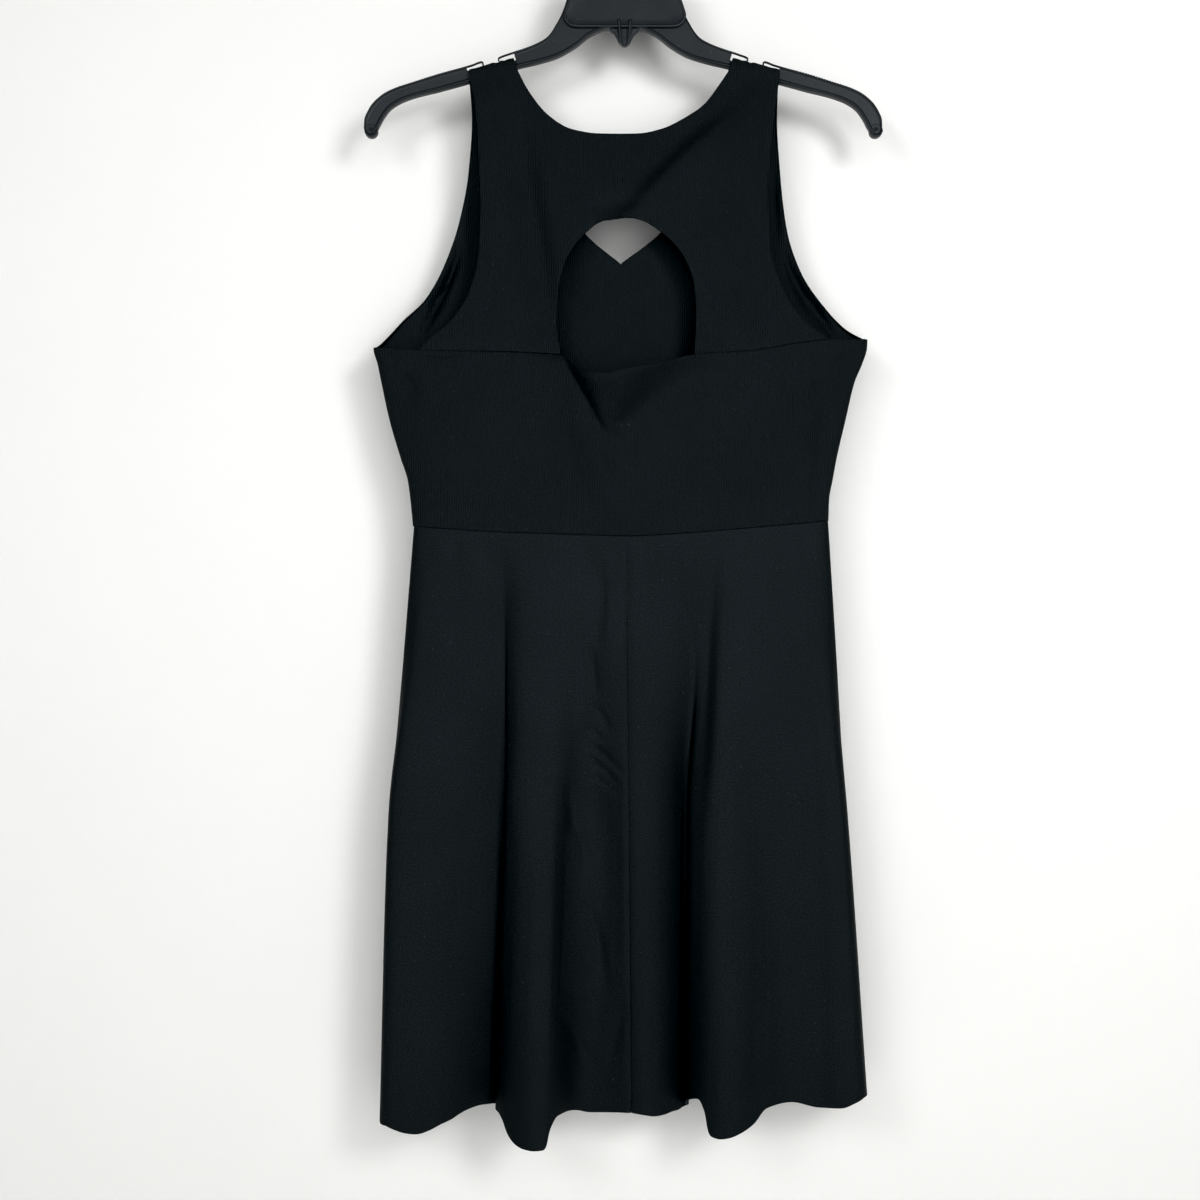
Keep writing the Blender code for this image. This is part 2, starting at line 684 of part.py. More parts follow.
def prism(name, outline, front, back):
    """A block with an outline of points (x, z), between two depths along Y."""
    loops = [[(x, y, z) for x, z in outline] for y in (front, back)]
    faces = tube_faces(2, len(outline))
    made = make_object(name, np.concatenate(loops), faces)
    shape = bmesh.new()
    shape.from_mesh(made.data)
    bmesh.ops.recalc_face_normals(shape, faces=shape.faces)
    shape.to_mesh(made.data)
    shape.free()
    return made


def mirrored_outline(widths):
    """A closed outline, the same on both sides of X = 0, from half widths at heights."""
    right = list(zip(widths["half_width"], widths["z"]))
    return right + [(-x, z) for x, z in right[::-1]]


def apply_shape(body, tool, operation):
    """Adds the tool's shape to the body, or cuts it out. The tool stays as a hidden helper."""
    step = body.modifiers.new(tool.name, "BOOLEAN")
    step.operation = operation
    step.object = tool
    tool.hide_render = True
    tool.display_type = "WIRE"


def tile():
    """The bare centre tile, with a raised rim round both of its faces."""
    reach = ARM_DEPTH / 2 + TILE_RISE
    made = prism("tile_block", mirrored_outline(TILE), -reach, reach)
    shape = bmesh.new()
    shape.from_mesh(made.data)
    flats = [face for face in shape.faces if abs(face.normal.y) > 0.9]
    for face in flats:
        bmesh.ops.inset_region(shape, faces=[face], thickness=TILE_RIM * MM, depth=0)
        bmesh.ops.inset_region(shape, faces=[face], thickness=TILE_RECESS * MM, depth=-TILE_RECESS * MM)
    shape.to_mesh(made.data)
    shape.free()
    return made


def lip(name, side, wall_x, end_x):
    """A thin bar over a notch, from the notch's wall to end_x, with a nib at its end. It lies at the face."""
    outward = np.sign(end_x - wall_x)
    line = np.array(ARM_TOP)[8:14]
    x0, x1 = wall_x - outward * LIP_ROOT, end_x
    z0, z1 = np.interp((x0, x1), line[:, 0], line[:, 1]) - LIP_SINK
    inner_x1 = x1 - outward * LIP_HEIGHT
    outline = (
        (x0, z0),
        (x1 - outward * LIP_CORNER, z1),
        (x1, z1 - LIP_CORNER),
        (x1, z1 - LIP_NIB),
        (inner_x1, z1 - LIP_NIB),
        (inner_x1, z1 - LIP_HEIGHT),
        (x0, z0 - LIP_HEIGHT),
    )
    front = FACE_STEP - ARM_DEPTH / 2
    return prism(name, [(side * x, z) for x, z in outline], front, front + LIP_DEPTH)


def upright_cylinder(name, radius, top_z, foot_z, sides=24):
    turn = np.linspace(0, 2 * np.pi, sides, endpoint=False)
    ring = np.stack([radius * np.cos(turn), radius * np.sin(turn)], -1)
    loops = [np.insert(ring, 2, z, axis=1) for z in (foot_z, top_z)]
    made = make_object(name, np.concatenate(loops), tube_faces(2, sides))
    shape = bmesh.new()
    shape.from_mesh(made.data)
    bmesh.ops.recalc_face_normals(shape, faces=shape.faces)
    shape.to_mesh(made.data)
    shape.free()
    return made


def build_hanger(finish):
    half = arm_sections()
    loops = [section_loop(foot, top, -1, depth) for foot, top, depth in half[:0:-1]]
    loops += [section_loop(foot, top, 1, depth) for foot, top, depth in half]
    faces = tube_faces(len(loops), len(loops[0]))
    body = make_object("hanger_body", np.concatenate(loops), faces, finish)
    apply_shape(body, tile(), "UNION")
    spike = prism("spike_block", mirrored_outline(SPIKE), -SPIKE_DEPTH / 2, SPIKE_DEPTH / 2)
    apply_shape(body, spike, "UNION")
    top, foot = GROOVE_WIDTH / 2, GROOVE_WIDTH / 2 * GROOVE_FOOT_SHARE
    channel = ((-top, GROOVE_TOP_Z), (top, GROOVE_TOP_Z), (foot, GROOVE_FOOT_Z), (-foot, GROOVE_FOOT_Z))
    apply_shape(body, prism("spike_groove", channel, -SPIKE_DEPTH, GROOVE_BACK_Y), "DIFFERENCE")
    for side, word in ((-1, "left"), (1, "right")):
        inner = lip(f"lip_inner_{word}", side, NOTCH_INNER_X, INNER_LIP_END_X)
        outer = lip(f"lip_outer_{word}", side, NOTCH_OUTER_X, OUTER_LIP_END_X)
        apply_shape(body, inner, "UNION")
        apply_shape(body, outer, "UNION")
    apply_shape(body, upright_cylinder("boss", BOSS_RADIUS, BOSS_TOP_Z, BOSS_FOOT_Z), "UNION")
    socket_radius = WIRE_RADIUS + SOCKET_CLEARANCE
    socket_foot = STEM_FOOT_Z - SOCKET_CLEARANCE
    apply_shape(body, upright_cylinder("socket", socket_radius, BOSS_TOP_Z + 5, socket_foot), "DIFFERENCE")


def build_hook(finish):
    """The wire hook: a straight stem, a bend to one side and a round that ends beside it."""
    reach = CROWN_RADIUS + WIRE_RADIUS
    centre = np.array([0.0, -CROWN_RADIUS])
    angles = np.radians(np.linspace(HOOK_START_DEG, HOOK_END_DEG, CROWN_PLACES))
    round_points = centre + reach * np.stack([np.cos(angles), np.sin(angles)], -1)
    path = np.concatenate([STEM, round_points])
    curve = bpy.data.curves.new("hanger_hook", "CURVE")
    curve.dimensions = "3D"
    curve.bevel_depth = WIRE_RADIUS * MM
    curve.bevel_resolution = 3
    curve.use_fill_caps = True
    spline = curve.splines.new("POLY")
    spline.points.add(len(path) - 1)
    for point, (x, z) in zip(spline.points, path):
        point.co = (x * MM, 0.0, z * MM, 1.0)
    made = bpy.data.objects.new("hanger_hook", curve)
    bpy.context.scene.collection.objects.link(made)
    curve.materials.append(finish)


# ---------------------------------------------------------------- the scene


def clear_scene():
    for obj in list(bpy.data.objects):
        bpy.data.objects.remove(obj, do_unlink=True)


def main():
    clear_scene()
    bodice_knit = material("bodice_knit", (0.0080, 0.0105, 0.0120), 0.85)
    skirt_knit = material("skirt_knit", (0.0085, 0.0110, 0.0125), 0.75)
    plastic = material("hanger_plastic", (0.027, 0.031, 0.036), 0.42)
    wire = material("hook_wire", (0.62, 0.62, 0.63), 0.25, metallic=1.0)
    build_yoke(bodice_knit)
    build_midriff(bodice_knit)
    build_front(bodice_knit)
    build_skirt(skirt_knit)
    build_hanger(plastic)
    build_hook(wire)


main()
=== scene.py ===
"""The looks of a sleeveless keyhole dress on a moulded hanger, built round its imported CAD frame.

Every piece is a surface over two parameters, worked out with numpy as whole arrays: rows run down the
piece and columns run across it. Lengths in tables and constants are millimetres, and MM turns them into
metres. X runs to the right as one looks at the back of the dress, which faces -Y, and Z runs up. The
origin is the inner crown of the hook.
"""

import math

import bmesh
import bpy
import numpy as np
from bpy.props import FloatProperty, FloatVectorProperty, PointerProperty
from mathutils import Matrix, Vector


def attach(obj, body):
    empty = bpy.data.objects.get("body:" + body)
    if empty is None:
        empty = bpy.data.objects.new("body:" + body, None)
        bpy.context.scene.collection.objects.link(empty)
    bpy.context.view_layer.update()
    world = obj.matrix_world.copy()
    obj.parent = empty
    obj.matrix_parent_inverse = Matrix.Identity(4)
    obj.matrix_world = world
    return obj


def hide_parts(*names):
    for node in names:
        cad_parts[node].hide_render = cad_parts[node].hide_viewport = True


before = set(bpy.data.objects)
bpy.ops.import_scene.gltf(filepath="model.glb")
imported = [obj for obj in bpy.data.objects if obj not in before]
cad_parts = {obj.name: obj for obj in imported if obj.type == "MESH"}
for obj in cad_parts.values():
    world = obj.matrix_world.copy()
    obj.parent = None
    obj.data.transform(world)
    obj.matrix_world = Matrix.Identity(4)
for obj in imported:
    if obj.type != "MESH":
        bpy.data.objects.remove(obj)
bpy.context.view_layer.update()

bl_info = {
    "name": "Dress on a hanger",
    "version": (1, 0, 0),
    "blender": (4, 5, 0),
    "location": "3D View > Sidebar > Dress",
    "description": "Builds the cloth, the hanger and the stage round a packed frame",
    "category": "Object",
}

MM = 0.001

# Cloth
HALF_GAP = 0.6  # half of the space between two borders at a seam, which their round edges fill
CENTRE_GAP = 0.36  # the same between the two back panels of the skirt, which press on each other
SKIRT_WIDTH = 450.0  # between the side seams, along the cloth, halfway down
SIDE_BLUNTNESS = 6.0  # how squarely the flat tube of cloth turns at its sides
WAIST_DEPTH = 14.0  # how far each sheet stands from the middle plane at the waist
WAIST_CENTRE_X = 2.6
V_POINT_X = -1.8  # the foot of the front's V
SHOULDER_Z = -168.0  # where the straps begin to turn over the hanger
STRAP_DEPTH = 6.6  # how far a strap stands from the middle plane where it leaves the hanger
ARCH_SQUARENESS = 4.0  # how squarely a strap turns over the hanger
RIM_RINGS = 5  # steps round the edge of a piece of cloth
FOLD_SOFTNESS = 3  # how far the fold lines are eased into each other, in steps of 1/1600 of the width

# Hanger
ARM_DEPTH = 8.0
WEB_THICKNESS = 4.6
# The foot of the web: how far each step lies off the rim, and how far it stands out.
FILLET_LIFT = np.array([0.35, 0.9, 1.3, 2.2])
FILLET_OUT = np.array([0.7, 0, 0, 0])
NOTCH_DEPTH = 6.8  # how far down a notch goes
NOTCH_FLOOR_DEPTH = 5.0  # its size along Y
NOTCH_INNER_X = 91.0
NOTCH_OUTER_X = 130.8
NOTCH_SHELF_X = 129.5  # from here to its outer end, a notch is half as deep
TEETH_X = np.array([146.0, 186.0])  # the stretch of each arm's top that has teeth
TOOTH_LENGTH = 2.2
TOOTH_HEIGHT = 0.22
END_SWELL = 1.2  # how far both edges of an arm stand out near its end
SECTION_LEAN = 4.0  # how much nearer the middle a section of the arm has its foot than its top
INNER_LIP_END_X = 104.2
OUTER_LIP_END_X = 116.0
TILE_CENTRE = np.array([1.4, -102.0])
SPIKE_CENTRE = np.array([1.2, -127.0])
MARK_CENTRE = (53.1, -134.3)
CROWN_RADIUS = 21.0  # of the inside of the hook's round

# Stage, in metres: each light's name, place, the height that it looks at, its size and its power's setting.
LIGHTS = (
    ("key", (0.78, -1.55, -0.05), -0.6, 0.5, "key_power"),
    ("side", (-0.85, -1.5, 0.0), -0.6, 0.6, "side_power"),
    ("front", (0.2, -1.9, -0.55), -0.62, 2.4, "front_power"),
    ("rear", (-0.3, 2.0, -0.45), -0.6, 2.4, "front_power"),
)
CAMERA_PLACE = (-0.0192, -1.150, -0.603)
CAMERA_SENSOR = 36.0
CAMERA_LENS = 41.37


def table(columns, *rows):
    """Turns rows of numbers, of which a line may hold several, into one array for each named column."""
    return dict(zip(columns.split(), np.array(rows, float).T))


# ---- the dress in numbers, in millimetres

# The sides of the dress between the under-arm seam and the waist.
SIDES = table(
    "z left right",
    (-386, -207.5, 203.3), (-394, -207.6, 202.8), (-407, -204.2, 198.8), (-421, -201.3, 192.8),
    (-453, -194.3, 185), (-486, -184.6, 177.2), (-503, -179, 174), (-520, -176.6, 171), (-552, -173.6, 170),
)

# The top edge of the back panel: under the arms, along the yoke's seams, and the free edge between.
UNDERARM = table(
    "x y z",
    (-207.6, 0, -393.6), (-207.3, -5, -393.6), (-198, -8.4, -394.4), (-168.7, -10.5, -396.3),
    (-52, -15, -400.9), (-46, -15.8, -405.2), (-38.5, -17, -412), (-30, -18.2, -416.9), (-17, -19, -418.9),
    (0, -18.8, -416.4), (30, -17, -410.4), (59, -15, -401.8), (105, -13.6, -397.3), (169.5, -10.5, -387.8),
    (194, -8.4, -387), (202.5, -5, -386.8), (202.8, 0, -386.8),
)

WAIST = table(
    "x z",
    (-173.7, -542), (-110, -546.6), (-48, -548.6), (3.6, -550.2), (44, -548.2), (105, -543.4),
    (170.1, -537.6),
)

# Each row is one fold line of the skirt, from the left side to the right one: where it lies halfway down
# and at the hem.
BACK_FOLDS = table(
    "x_mid y_mid x_hem y_hem z_hem",
    (-193.6, 0, -200, 0, -1033), (-194.2, -11, -200.2, -16, -1028.5), (-192.6, -18, -198.6, -24.8, -1029.5),
    (-188.5, -20.8, -194.5, -29.4, -1029.5), (-181, -21.6, -187.5, -31, -1032),
    (-171, -21.2, -178, -31, -1035.2), (-161, -19.6, -168, -30, -1036.4), (-150, -17.2, -158, -27.7, -1034),
    (-140, -14.8, -149, -24.6, -1030.2), (-131, -12.2, -141, -20.6, -1027.8),
    (-122.5, -9.4, -133, -15.6, -1024), (-114.5, -6.6, -126, -10.6, -1022.2),
    (-107, -3.8, -119, -5.2, -1021.6), (-100.5, -1.6, -112, 0.2, -1022.6),
    (-97, -0.8, -106.5, 3.6, -1023.4), (-96.2, -2.4, -103.8, 3.8, -1023.6),
    (-97.6, -5.8, -104.2, 0.6, -1023.6), (-98.6, -9.6, -105.8, -4.4, -1023.4),
    (-97.6, -13.2, -105.8, -9.8, -1023.2), (-93.6, -17.2, -103.2, -15.4, -1023.6),
    (-88.6, -20, -99.4, -21.2, -1027.5), (-83, -22, -94.6, -26.6, -1037.5), (-77, -23, -89, -31, -1043.6),
    (-71.5, -23.4, -81.5, -34.8, -1046.6), (-66, -22.8, -73, -36.6, -1047.5),
    (-58.5, -21.4, -65, -35.7, -1047), (-51.5, -17.4, -59.2, -32.2, -1030.5),
    (-45.5, -13, -53.6, -26.2, -1022.9), (-39, -9.6, -48.6, -19, -1022.8),
    (-31.5, -7.4, -43.6, -12, -1023.6), (-23, -6.6, -37, -7, -1025.2), (-14.5, -7.8, -27.6, -4.6, -1027.8),
    (-6.5, -10.4, -16, -6, -1027.4), (4.6, -13.5, 6.6, -12.3, -1025.9), (17, -14.2, 17.5, -14.5, -1026.7),
    (26.5, -12.8, 26.5, -12.6, -1028.3), (34.5, -9.8, 34.5, -8.6, -1028.2), (41.5, -5.6, 41, -3.4, -1027.6),
    (47, -1, 46.4, 1.8, -1028), (51.2, 1.8, 50.8, 6, -1026.6), (53.6, 1.6, 53.8, 7, -1025.6),
    (53.6, -2, 53.8, 3.6, -1024), (52.8, -6.2, 51.8, -1.2, -1021.4), (54, -10.2, 51.2, -6.4, -1018),
    (57.6, -14, 53.2, -12, -1014.6), (62.6, -17.4, 56.6, -17.6, -1011.8), (68.2, -20.4, 60.8, -23.2, -1010),
    (74.2, -22.2, 65.4, -28.4, -1017.5), (80.2, -23.2, 70.4, -32.8, -1036.8), (87, -23, 77, -36, -1038),
    (94, -22, 85, -37, -1036.8), (102, -20.4, 94, -35.4, -1033.8), (110, -18.8, 105, -31, -1028.2),
    (120, -17.4, 117, -26.4, -1016.4), (139, -16.2, 138, -21, -1013.4), (158, -17.4, 160, -22.8, -1017.2),
    (169, -18.8, 178, -26.6, -1016.5), (177.5, -18.6, 190, -27, -1011.6), (183, -15, 197.6, -23, -1008.5),
    (185.2, -8, 200.9, -12.5, -1010), (185, 0, 201, 0, -1012),
)
FRONT_FOLDS = table(
    "x_mid y_mid x_hem y_hem z_hem",
    (-194, 0, -200, 0, -1030), (-193.6, 6, -199.6, 8, -1030), (-184, 14, -188, 20, -1031),
    (-162, 19, -163, 31, -1033), (-130, 14, -137, 15, -1026), (-108, 20, -115, 33, -1030),
    (-94, 27, -98, 47, -1035.5), (-74, 21, -80, 32, -1030), (-52, 14, -56, 15, -1024.5),
    (-20, 18, -22, 24, -1026.5), (10, 15, 10, 17, -1025), (32, 21, 34, 34, -1029.5),
    (50, 26, 52, 45, -1034), (72, 19, 73, 30, -1029), (95, 13, 98, 14, -1021), (124, 19, 130, 29, -1022),
    (152, 17, 164, 24, -1019), (176, 13, 191, 17, -1015.5), (184.6, 6, 200.6, 8, -1013.8),
    (185, 0, 201, 0, -1013.5),
)
CENTRE_BACK_ROW = 33
LEANING_ROW = 42  # the deepest fold line right of it, which starts further right
HIGH_LEAN = 17.0  # how much further right, a little below the waist
DOWN_SHARES = (0, 0.22, 0.5, 1)  # where the waist, a low row, the middle and the hem lie, down the skirt
LOW_SHARE = (0.44, 0.22, 0.44)  # how far the low row has gone from the waist to the middle, in x, y and z

# Outlines of the yoke, as points (x, y, z) on its edges from the hanger down.
BACK_ARMHOLE_LEFT = (
    (-127.6, -STRAP_DEPTH, -169), (-122.6, -8, -188), (-119.5, -9.5, -225), (-117.3, -11, -277),
    (-119, -12, -318), (-126.5, -12, -348), (-141.5, -12, -372), (-158, -11.5, -386.6),
    (-168.7, -10.5, -396.3),
)
BACK_ARMHOLE_RIGHT = (
    (129.4, -STRAP_DEPTH, -168), (126.4, -8, -188), (122, -9.5, -224), (119, -11, -262), (120.3, -12, -308),
    (127.5, -12, -337), (140.5, -12, -362.5), (155.5, -11.5, -378.6), (169.5, -10.5, -387.8),
)
NECK_LEFT = (
    (-87.5, -STRAP_DEPTH, -165), (-80.5, -7, -178.5), (-62.5, -8, -201.5), (-42.5, -8.5, -213.6),
    (-20, -9, -217.3), (0, -9, -217.6),
)
NECK_RIGHT = (
    (87.5, -STRAP_DEPTH, -165.2), (80, -7, -176.2), (67, -7.6, -193), (54, -8, -202.4), (31, -8.5, -213.6),
    (13, -9, -217.3), (0, -9, -217.6),
)
YOKE_CENTRE = ((0, -9, -217.6), (0, -13, -288.2))
KEYHOLE_LEFT = (
    (0, -13, -288.2), (-15.7, -13, -289.6), (-32.8, -13.2, -301.2), (-48, -13.6, -323), (-54.8, -14, -350),
    (-55.7, -14.4, -374), (-52, -15, -400.9),
)
KEYHOLE_RIGHT = (
    (0, -13, -288.2), (10.5, -13, -289), (32.1, -13.2, -299.8), (50.3, -13.6, -319.8), (59, -14, -344.4),
    (60.3, -14.4, -368), (59, -15, -401.8),
)
# How far the yoke stands out at each height, near the middle and near the arms.
YOKE_DEPTH = table(
    "z middle arms",
    (-402, 15, 10.5), (-385, 14.6, 11.5), (-350, 14, 12), (-318, 13.6, 11.9), (-288, 12.9, 11.3),
    (-250, 11, 10.3), (-217.6, 9, 9.1), (-188, 7.4, 7.8), (-169, STRAP_DEPTH, STRAP_DEPTH),
    (-150, STRAP_DEPTH, STRAP_DEPTH),
)
# The two ends of each shoulder seam, which lies on the hanger.
SHOULDER_LEFT = ((-127.6, -161.9), (-91.9, -152.2))
SHOULDER_RIGHT = ((129.2, -161.7), (91.9, -152.2))

# Outlines of the front, in the same way.
FRONT_ARMHOLE_LEFT = (
    (-128.6, STRAP_DEPTH, -169), (-126.8, 8, -199), (-130, 10.5, -244), (-137.5, 12, -283),
    (-150, 12.5, -320), (-166.5, 12, -350), (-184.5, 10, -368), (-203.5, 5, -389.5), (-207.6, 0, -393.6),
)
FRONT_ARMHOLE_RIGHT = (
    (130.2, STRAP_DEPTH, -168), (129.6, 8, -199), (132.4, 10.5, -243), (138.5, 12, -292),
    (150.5, 12.5, -327.5), (171.5, 12, -358.5), (188, 10, -376), (200.5, 5, -384.5), (202.8, 0, -386.8),
)
V_NECK_LEFT = (
    (-89.2, STRAP_DEPTH, -165), (-80.5, 9, -190), (-68, 11, -224.5), (-53, 12.5, -261.5),
    (-33, 13.5, -293.6), (V_POINT_X, 14, -320.4),
)
V_NECK_RIGHT = (
    (88.6, STRAP_DEPTH, -164), (80, 9, -190), (69, 11, -224.5), (54, 12.5, -261.5), (33, 13.5, -293),
    (V_POINT_X, 14, -320.4),
)
FRONT_CENTRE_MID = (V_POINT_X, 14, -392)

# Creases: the ends (x, z) of each, how far it bows to the right, its half width, how much steeper its
# right flank is (or its left one, below 0), and how far it stands out (or in, below 0).
CREASES = "x0 z0 x1 z1 bow width lean out"
YOKE_CREASES = table(
    CREASES,
    (116, -184, -26, -311, 0, 17, -0.5, 5.4), (-91, -160, -58, -420, 2, 15, 0.3, -6),
    (-34, -278, 30, -274, 0, 7, 0, -1.5), (-104, -190, -88, -330, 3, 16, 0, 0.9),
    (96, -196, 84, -360, -4, 18, 0, 0.9), (112, -170, 106, -215, 0, 5, 0.3, 0.5),
    (-112, -168, -108, -205, 0, 4.5, 0.3, 0.5), (-100, -160, -98, -186, 0, 3.5, 0, 0.5),
    (98, -158, 95, -184, 0, 3.5, 0, 0.5),
)
MIDRIFF_CREASES = table(
    CREASES,
    (-47, -410, 2, -540, -4, 11, 0.35, 2.2), (22, -452, -16, -500, 2, 14, 0, -1),
    (-173, -399.5, -131, -402.6, 1, 2.6, 0, -1.1), (-189, -410, -168, -441, 2, 5, 0.3, -1.4),
    (-199, -396, -187, -415, 1, 4, 0, -1.1), (-186, -430, -150, -500, 4, 14, 0, 1.3),
    (63, -420, 28, -457, 2, 9, 0, 1.3), (163, -420, 144, -498, -4, 9, 0.3, 1.6),
    (180, -428, 157, -538, -5, 7, 0, -1.5), (190, -396, 168, -420, 0, 6, 0, 1.1),
    (-127, -516, -98, -541, 0, 7, 0, 0.8), (96, -500, 118, -538, 0, 8, 0, 0.7),
)
FRONT_CREASES = table(
    CREASES,
    (-134, -296, -156, -352, 2, 4, 0.3, 5), (-141, -316, -164, -372, 2, 3.6, 0.3, 5.5),
    (-152, -330, -172, -388, 1, 3.4, 0.3, 5), (-124, -236, -136, -340, 3, 6, 0, 3),
    (126, -226, 136, -326, -3, 5, 0, 3.4), (135, -296, 156, -366, -2, 3.6, -0.3, 4.6),
    (143, -312, 164, -378, -1, 3.2, -0.3, 5), (151, -324, 172, -386, 0, 3, -0.3, 4.6),
    (160, -338, 179, -392, 0, 2.8, -0.3, 4), (-100, -330, -40, -470, 6, 15, 0.2, 2.2),
    (96, -330, 44, -480, -6, 15, -0.2, 2.2), (-60, -300, -22, -372, 0, 9, 0, 1),
    (58, -296, 24, -366, 0, 9, 0, 1), (-172, -470, -120, -530, 3, 8, 0, 1.4),
    (166, -462, 122, -528, -3, 8, 0, 1.4), (-20, -470, 24, -532, 4, 12, 0, 1.3),
)
SKIRT_BACK_CREASES = table(
    CREASES,
    (-20, -552, -25, -652, 3, 8, 0.4, -1.3), (-12, -590, -9, -700, 0, 9, 0, 1.2),
    (-27, -636, -24, -690, 1.5, 4.6, 0.4, -1.1), (-31, -660, -37, -720, 2, 6, 0, 0.9),
    (-27, -682, -8, -718, 1, 3.4, 0.3, -0.9), (-33, -704, -13, -724, 1, 3, 0.3, -0.6),
    (-35, -714, 5, -754, 2.5, 3.4, 0.3, -0.9), (-38, -728, 6, -766, 3, 3.2, 0.4, -0.9),
    (-30, -746, 5, -770, 2, 2.6, 0.3, -0.6), (-45, -746, -41, -806, -1.5, 3.6, 0, -1.1),
    (-42, -768, -29, -812, -3, 3, 0.2, -0.9), (-36, -790, -26, -836, -1, 3.4, 0, -0.8),
    (-33, -830, -13, -944, 3, 4.4, 0.2, -1.1), (-42, -860, -32, -960, 0, 9, 0, 1.2),
    (-58, -926, -18, -996, -3, 4.2, 0.4, -1.4), (-42, -954, -26, -1008, -1, 3.4, 0, -0.8),
    (0, -914, -13, -996, 3, 5, 0, -1.2), (155, -678, 178, -700, 1, 3.6, 0, -0.6),
    (118, -770, 124, -1000, 3, 12, 0.3, -1.2), (-118, -556, -126, -660, 2, 10, 0, 0.9),
    (79, -535, 53, -820, 3, 13, 0.5, -4.2), (0.6, -300, 8.9, -1300, 0, 2.6, 0, -0.8),
    (-98, -540, -97, -770, 1, 14, 0.3, -2.5), (140, -548, 150, -660, 3, 12, 0, 0.9),
)
SKIRT_FRONT_CREASES = table(
    CREASES,
    (-30, -560, -36, -690, 3, 7, 0, 1.6), (18, -700, 44, -728, 2, 2.6, 0.3, -1.2),
    (22, -712, 46, -742, 2, 2.4, 0.3, -1.1), (-12, -760, -20, -806, 1, 2.4, 0, -1.3),
    (-104, -620, -110, -800, -3, 12, 0, 1.8), (84, -590, 92, -780, 3, 10, 0.2, -1.8),
    (138, -640, 146, -900, 4, 14, 0, 1.8), (-150, -700, -158, -940, -4, 12, 0, -1.6),
    (-8, -880, 10, -930, 2, 3, 0, -1.4), (26, -936, 2, -984, 2, 2.8, 0.3, -1.5),
    (-70, -556, -76, -640, 0, 7, 0, 1.1), (50, -556, 54, -630, 0, 7, 0, 1.1),
)
# The slack under the keyhole: its top edge, its foot, how far it stands out and how far its rim rolls in.
SLACK = {"left_x": -46, "right_x": 15, "top_z": -410, "foot": (-13.5, -468), "out": 21, "roll": 2.4}

# The hanger's half outline, from the middle to the tip.
ARM_TOP = (
    (0, -75.5), (24, -75.5), (37, -78.5), (44, -90), (47.3, -104.7), (50.7, -114.6), (55, -123),
    (63, -134.6), (72.3, -140.2), (91, -147), (116, -154.8), (130, -158.9), (152, -164.9), (172, -171.2),
    (195.2, -179.6), (205.2, -187.7), (211, -196), (214.3, -204.3), (214.7, -211.5),
)
ARM_FOOT = (
    (0, -125.5), (6, -125.5), (12, -126.6), (26.3, -132.4), (40.5, -142.8), (55, -150.8), (70, -155.4),
    (88.5, -159.9), (128.4, -171.9), (152.6, -178.6), (175, -184.3), (187.6, -189.3), (195, -194),
    (201, -201.5), (205.2, -209.4), (209, -215.5),
)
# The section of an arm's rims, from the edge inwards, in shares of a rim's height and depth.
RIM_PROFILE = table(
    "height depth",
    (0, 0.7), (0.08, 0.86), (0.3, 0.98), (0.55, 1), (0.8, 0.97), (0.95, 0.86), (1, 0.74),
)
TILE_OUTLINE = table(
    "x z",
    (29, -75.8), (32.6, -75.9), (35.2, -76.8), (37.2, -78.9), (39.5, -83), (43, -93), (46.9, -103.5),
    (49.6, -111.5), (50.9, -116.5), (50.3, -120.8), (47.6, -124.6), (43.4, -126.8), (38, -127.3),
)
SPIKE_OUTLINE = table(
    "x z",
    (19, -122), (15.5, -124.4), (13.2, -126.6), (11, -128.8), (8.9, -130.6), (7.4, -132.6), (6.2, -135),
    (5.2, -137.2), (3.6, -139.4), (1.6, -140.8), (0, -141.2),
)

# The two ribs beside the spike, from its middle line out, and their width along the way.
SPIKE_RIB = table("x z", (4.7, -121), (4.4, -126), (4, -131), (3.4, -136), (2.6, -141.2))
SPIKE_RIB_WIDTH = table("share width", (0, 2.8), (0.8, 2.3), (1, 1.2))

# The round end of each arm: how deep its face is at each radius, and how deep where it has its rim.
TIP_CENTRE = (210.2, -212.2)
TIP_SHIFT_X = 0.4
TIP_PROFILE = table(
    "radius face rim",
    (0.05, 3.3, 3.3), (0.5, 3.2, 3.2), (0.8, 2.8, 2.8), (1.2, 2.5, 2.5), (3.4, 2.5, 2.5), (3.8, 2.5, 2.9),
    (4.1, 2.5, 3.6), (4.5, 2.5, 3.95), (4.9, 2.5, 3.9), (5.3, 2.4, 3.5), (5.5, 1.6, 2.8),
)

# Profiles turned about an axis: a moulding mark on the right arm, and the neck that holds the hook.
MARK_PROFILE = table(
    "radius out",
    (0.05, -1.9), (1.4, -1.9), (2, -1.7), (2.3, -2.05), (2.9, -2.05), (3.2, -1.8), (3.2, -1), (0.05, -1),
)
NECK_PROFILE = table(
    "radius out",
    (2.1, -84), (2.1, -69.6), (2.5, -69), (4.7, -69), (5.3, -69.4), (5.5, -70.4), (5.5, -92), (5, -93),
    (2.1, -93),
)
HOOK_STEM = ((0, -84), (0, -75), (0, -66), (0, -58), (3.5, -51), (10, -43.5))

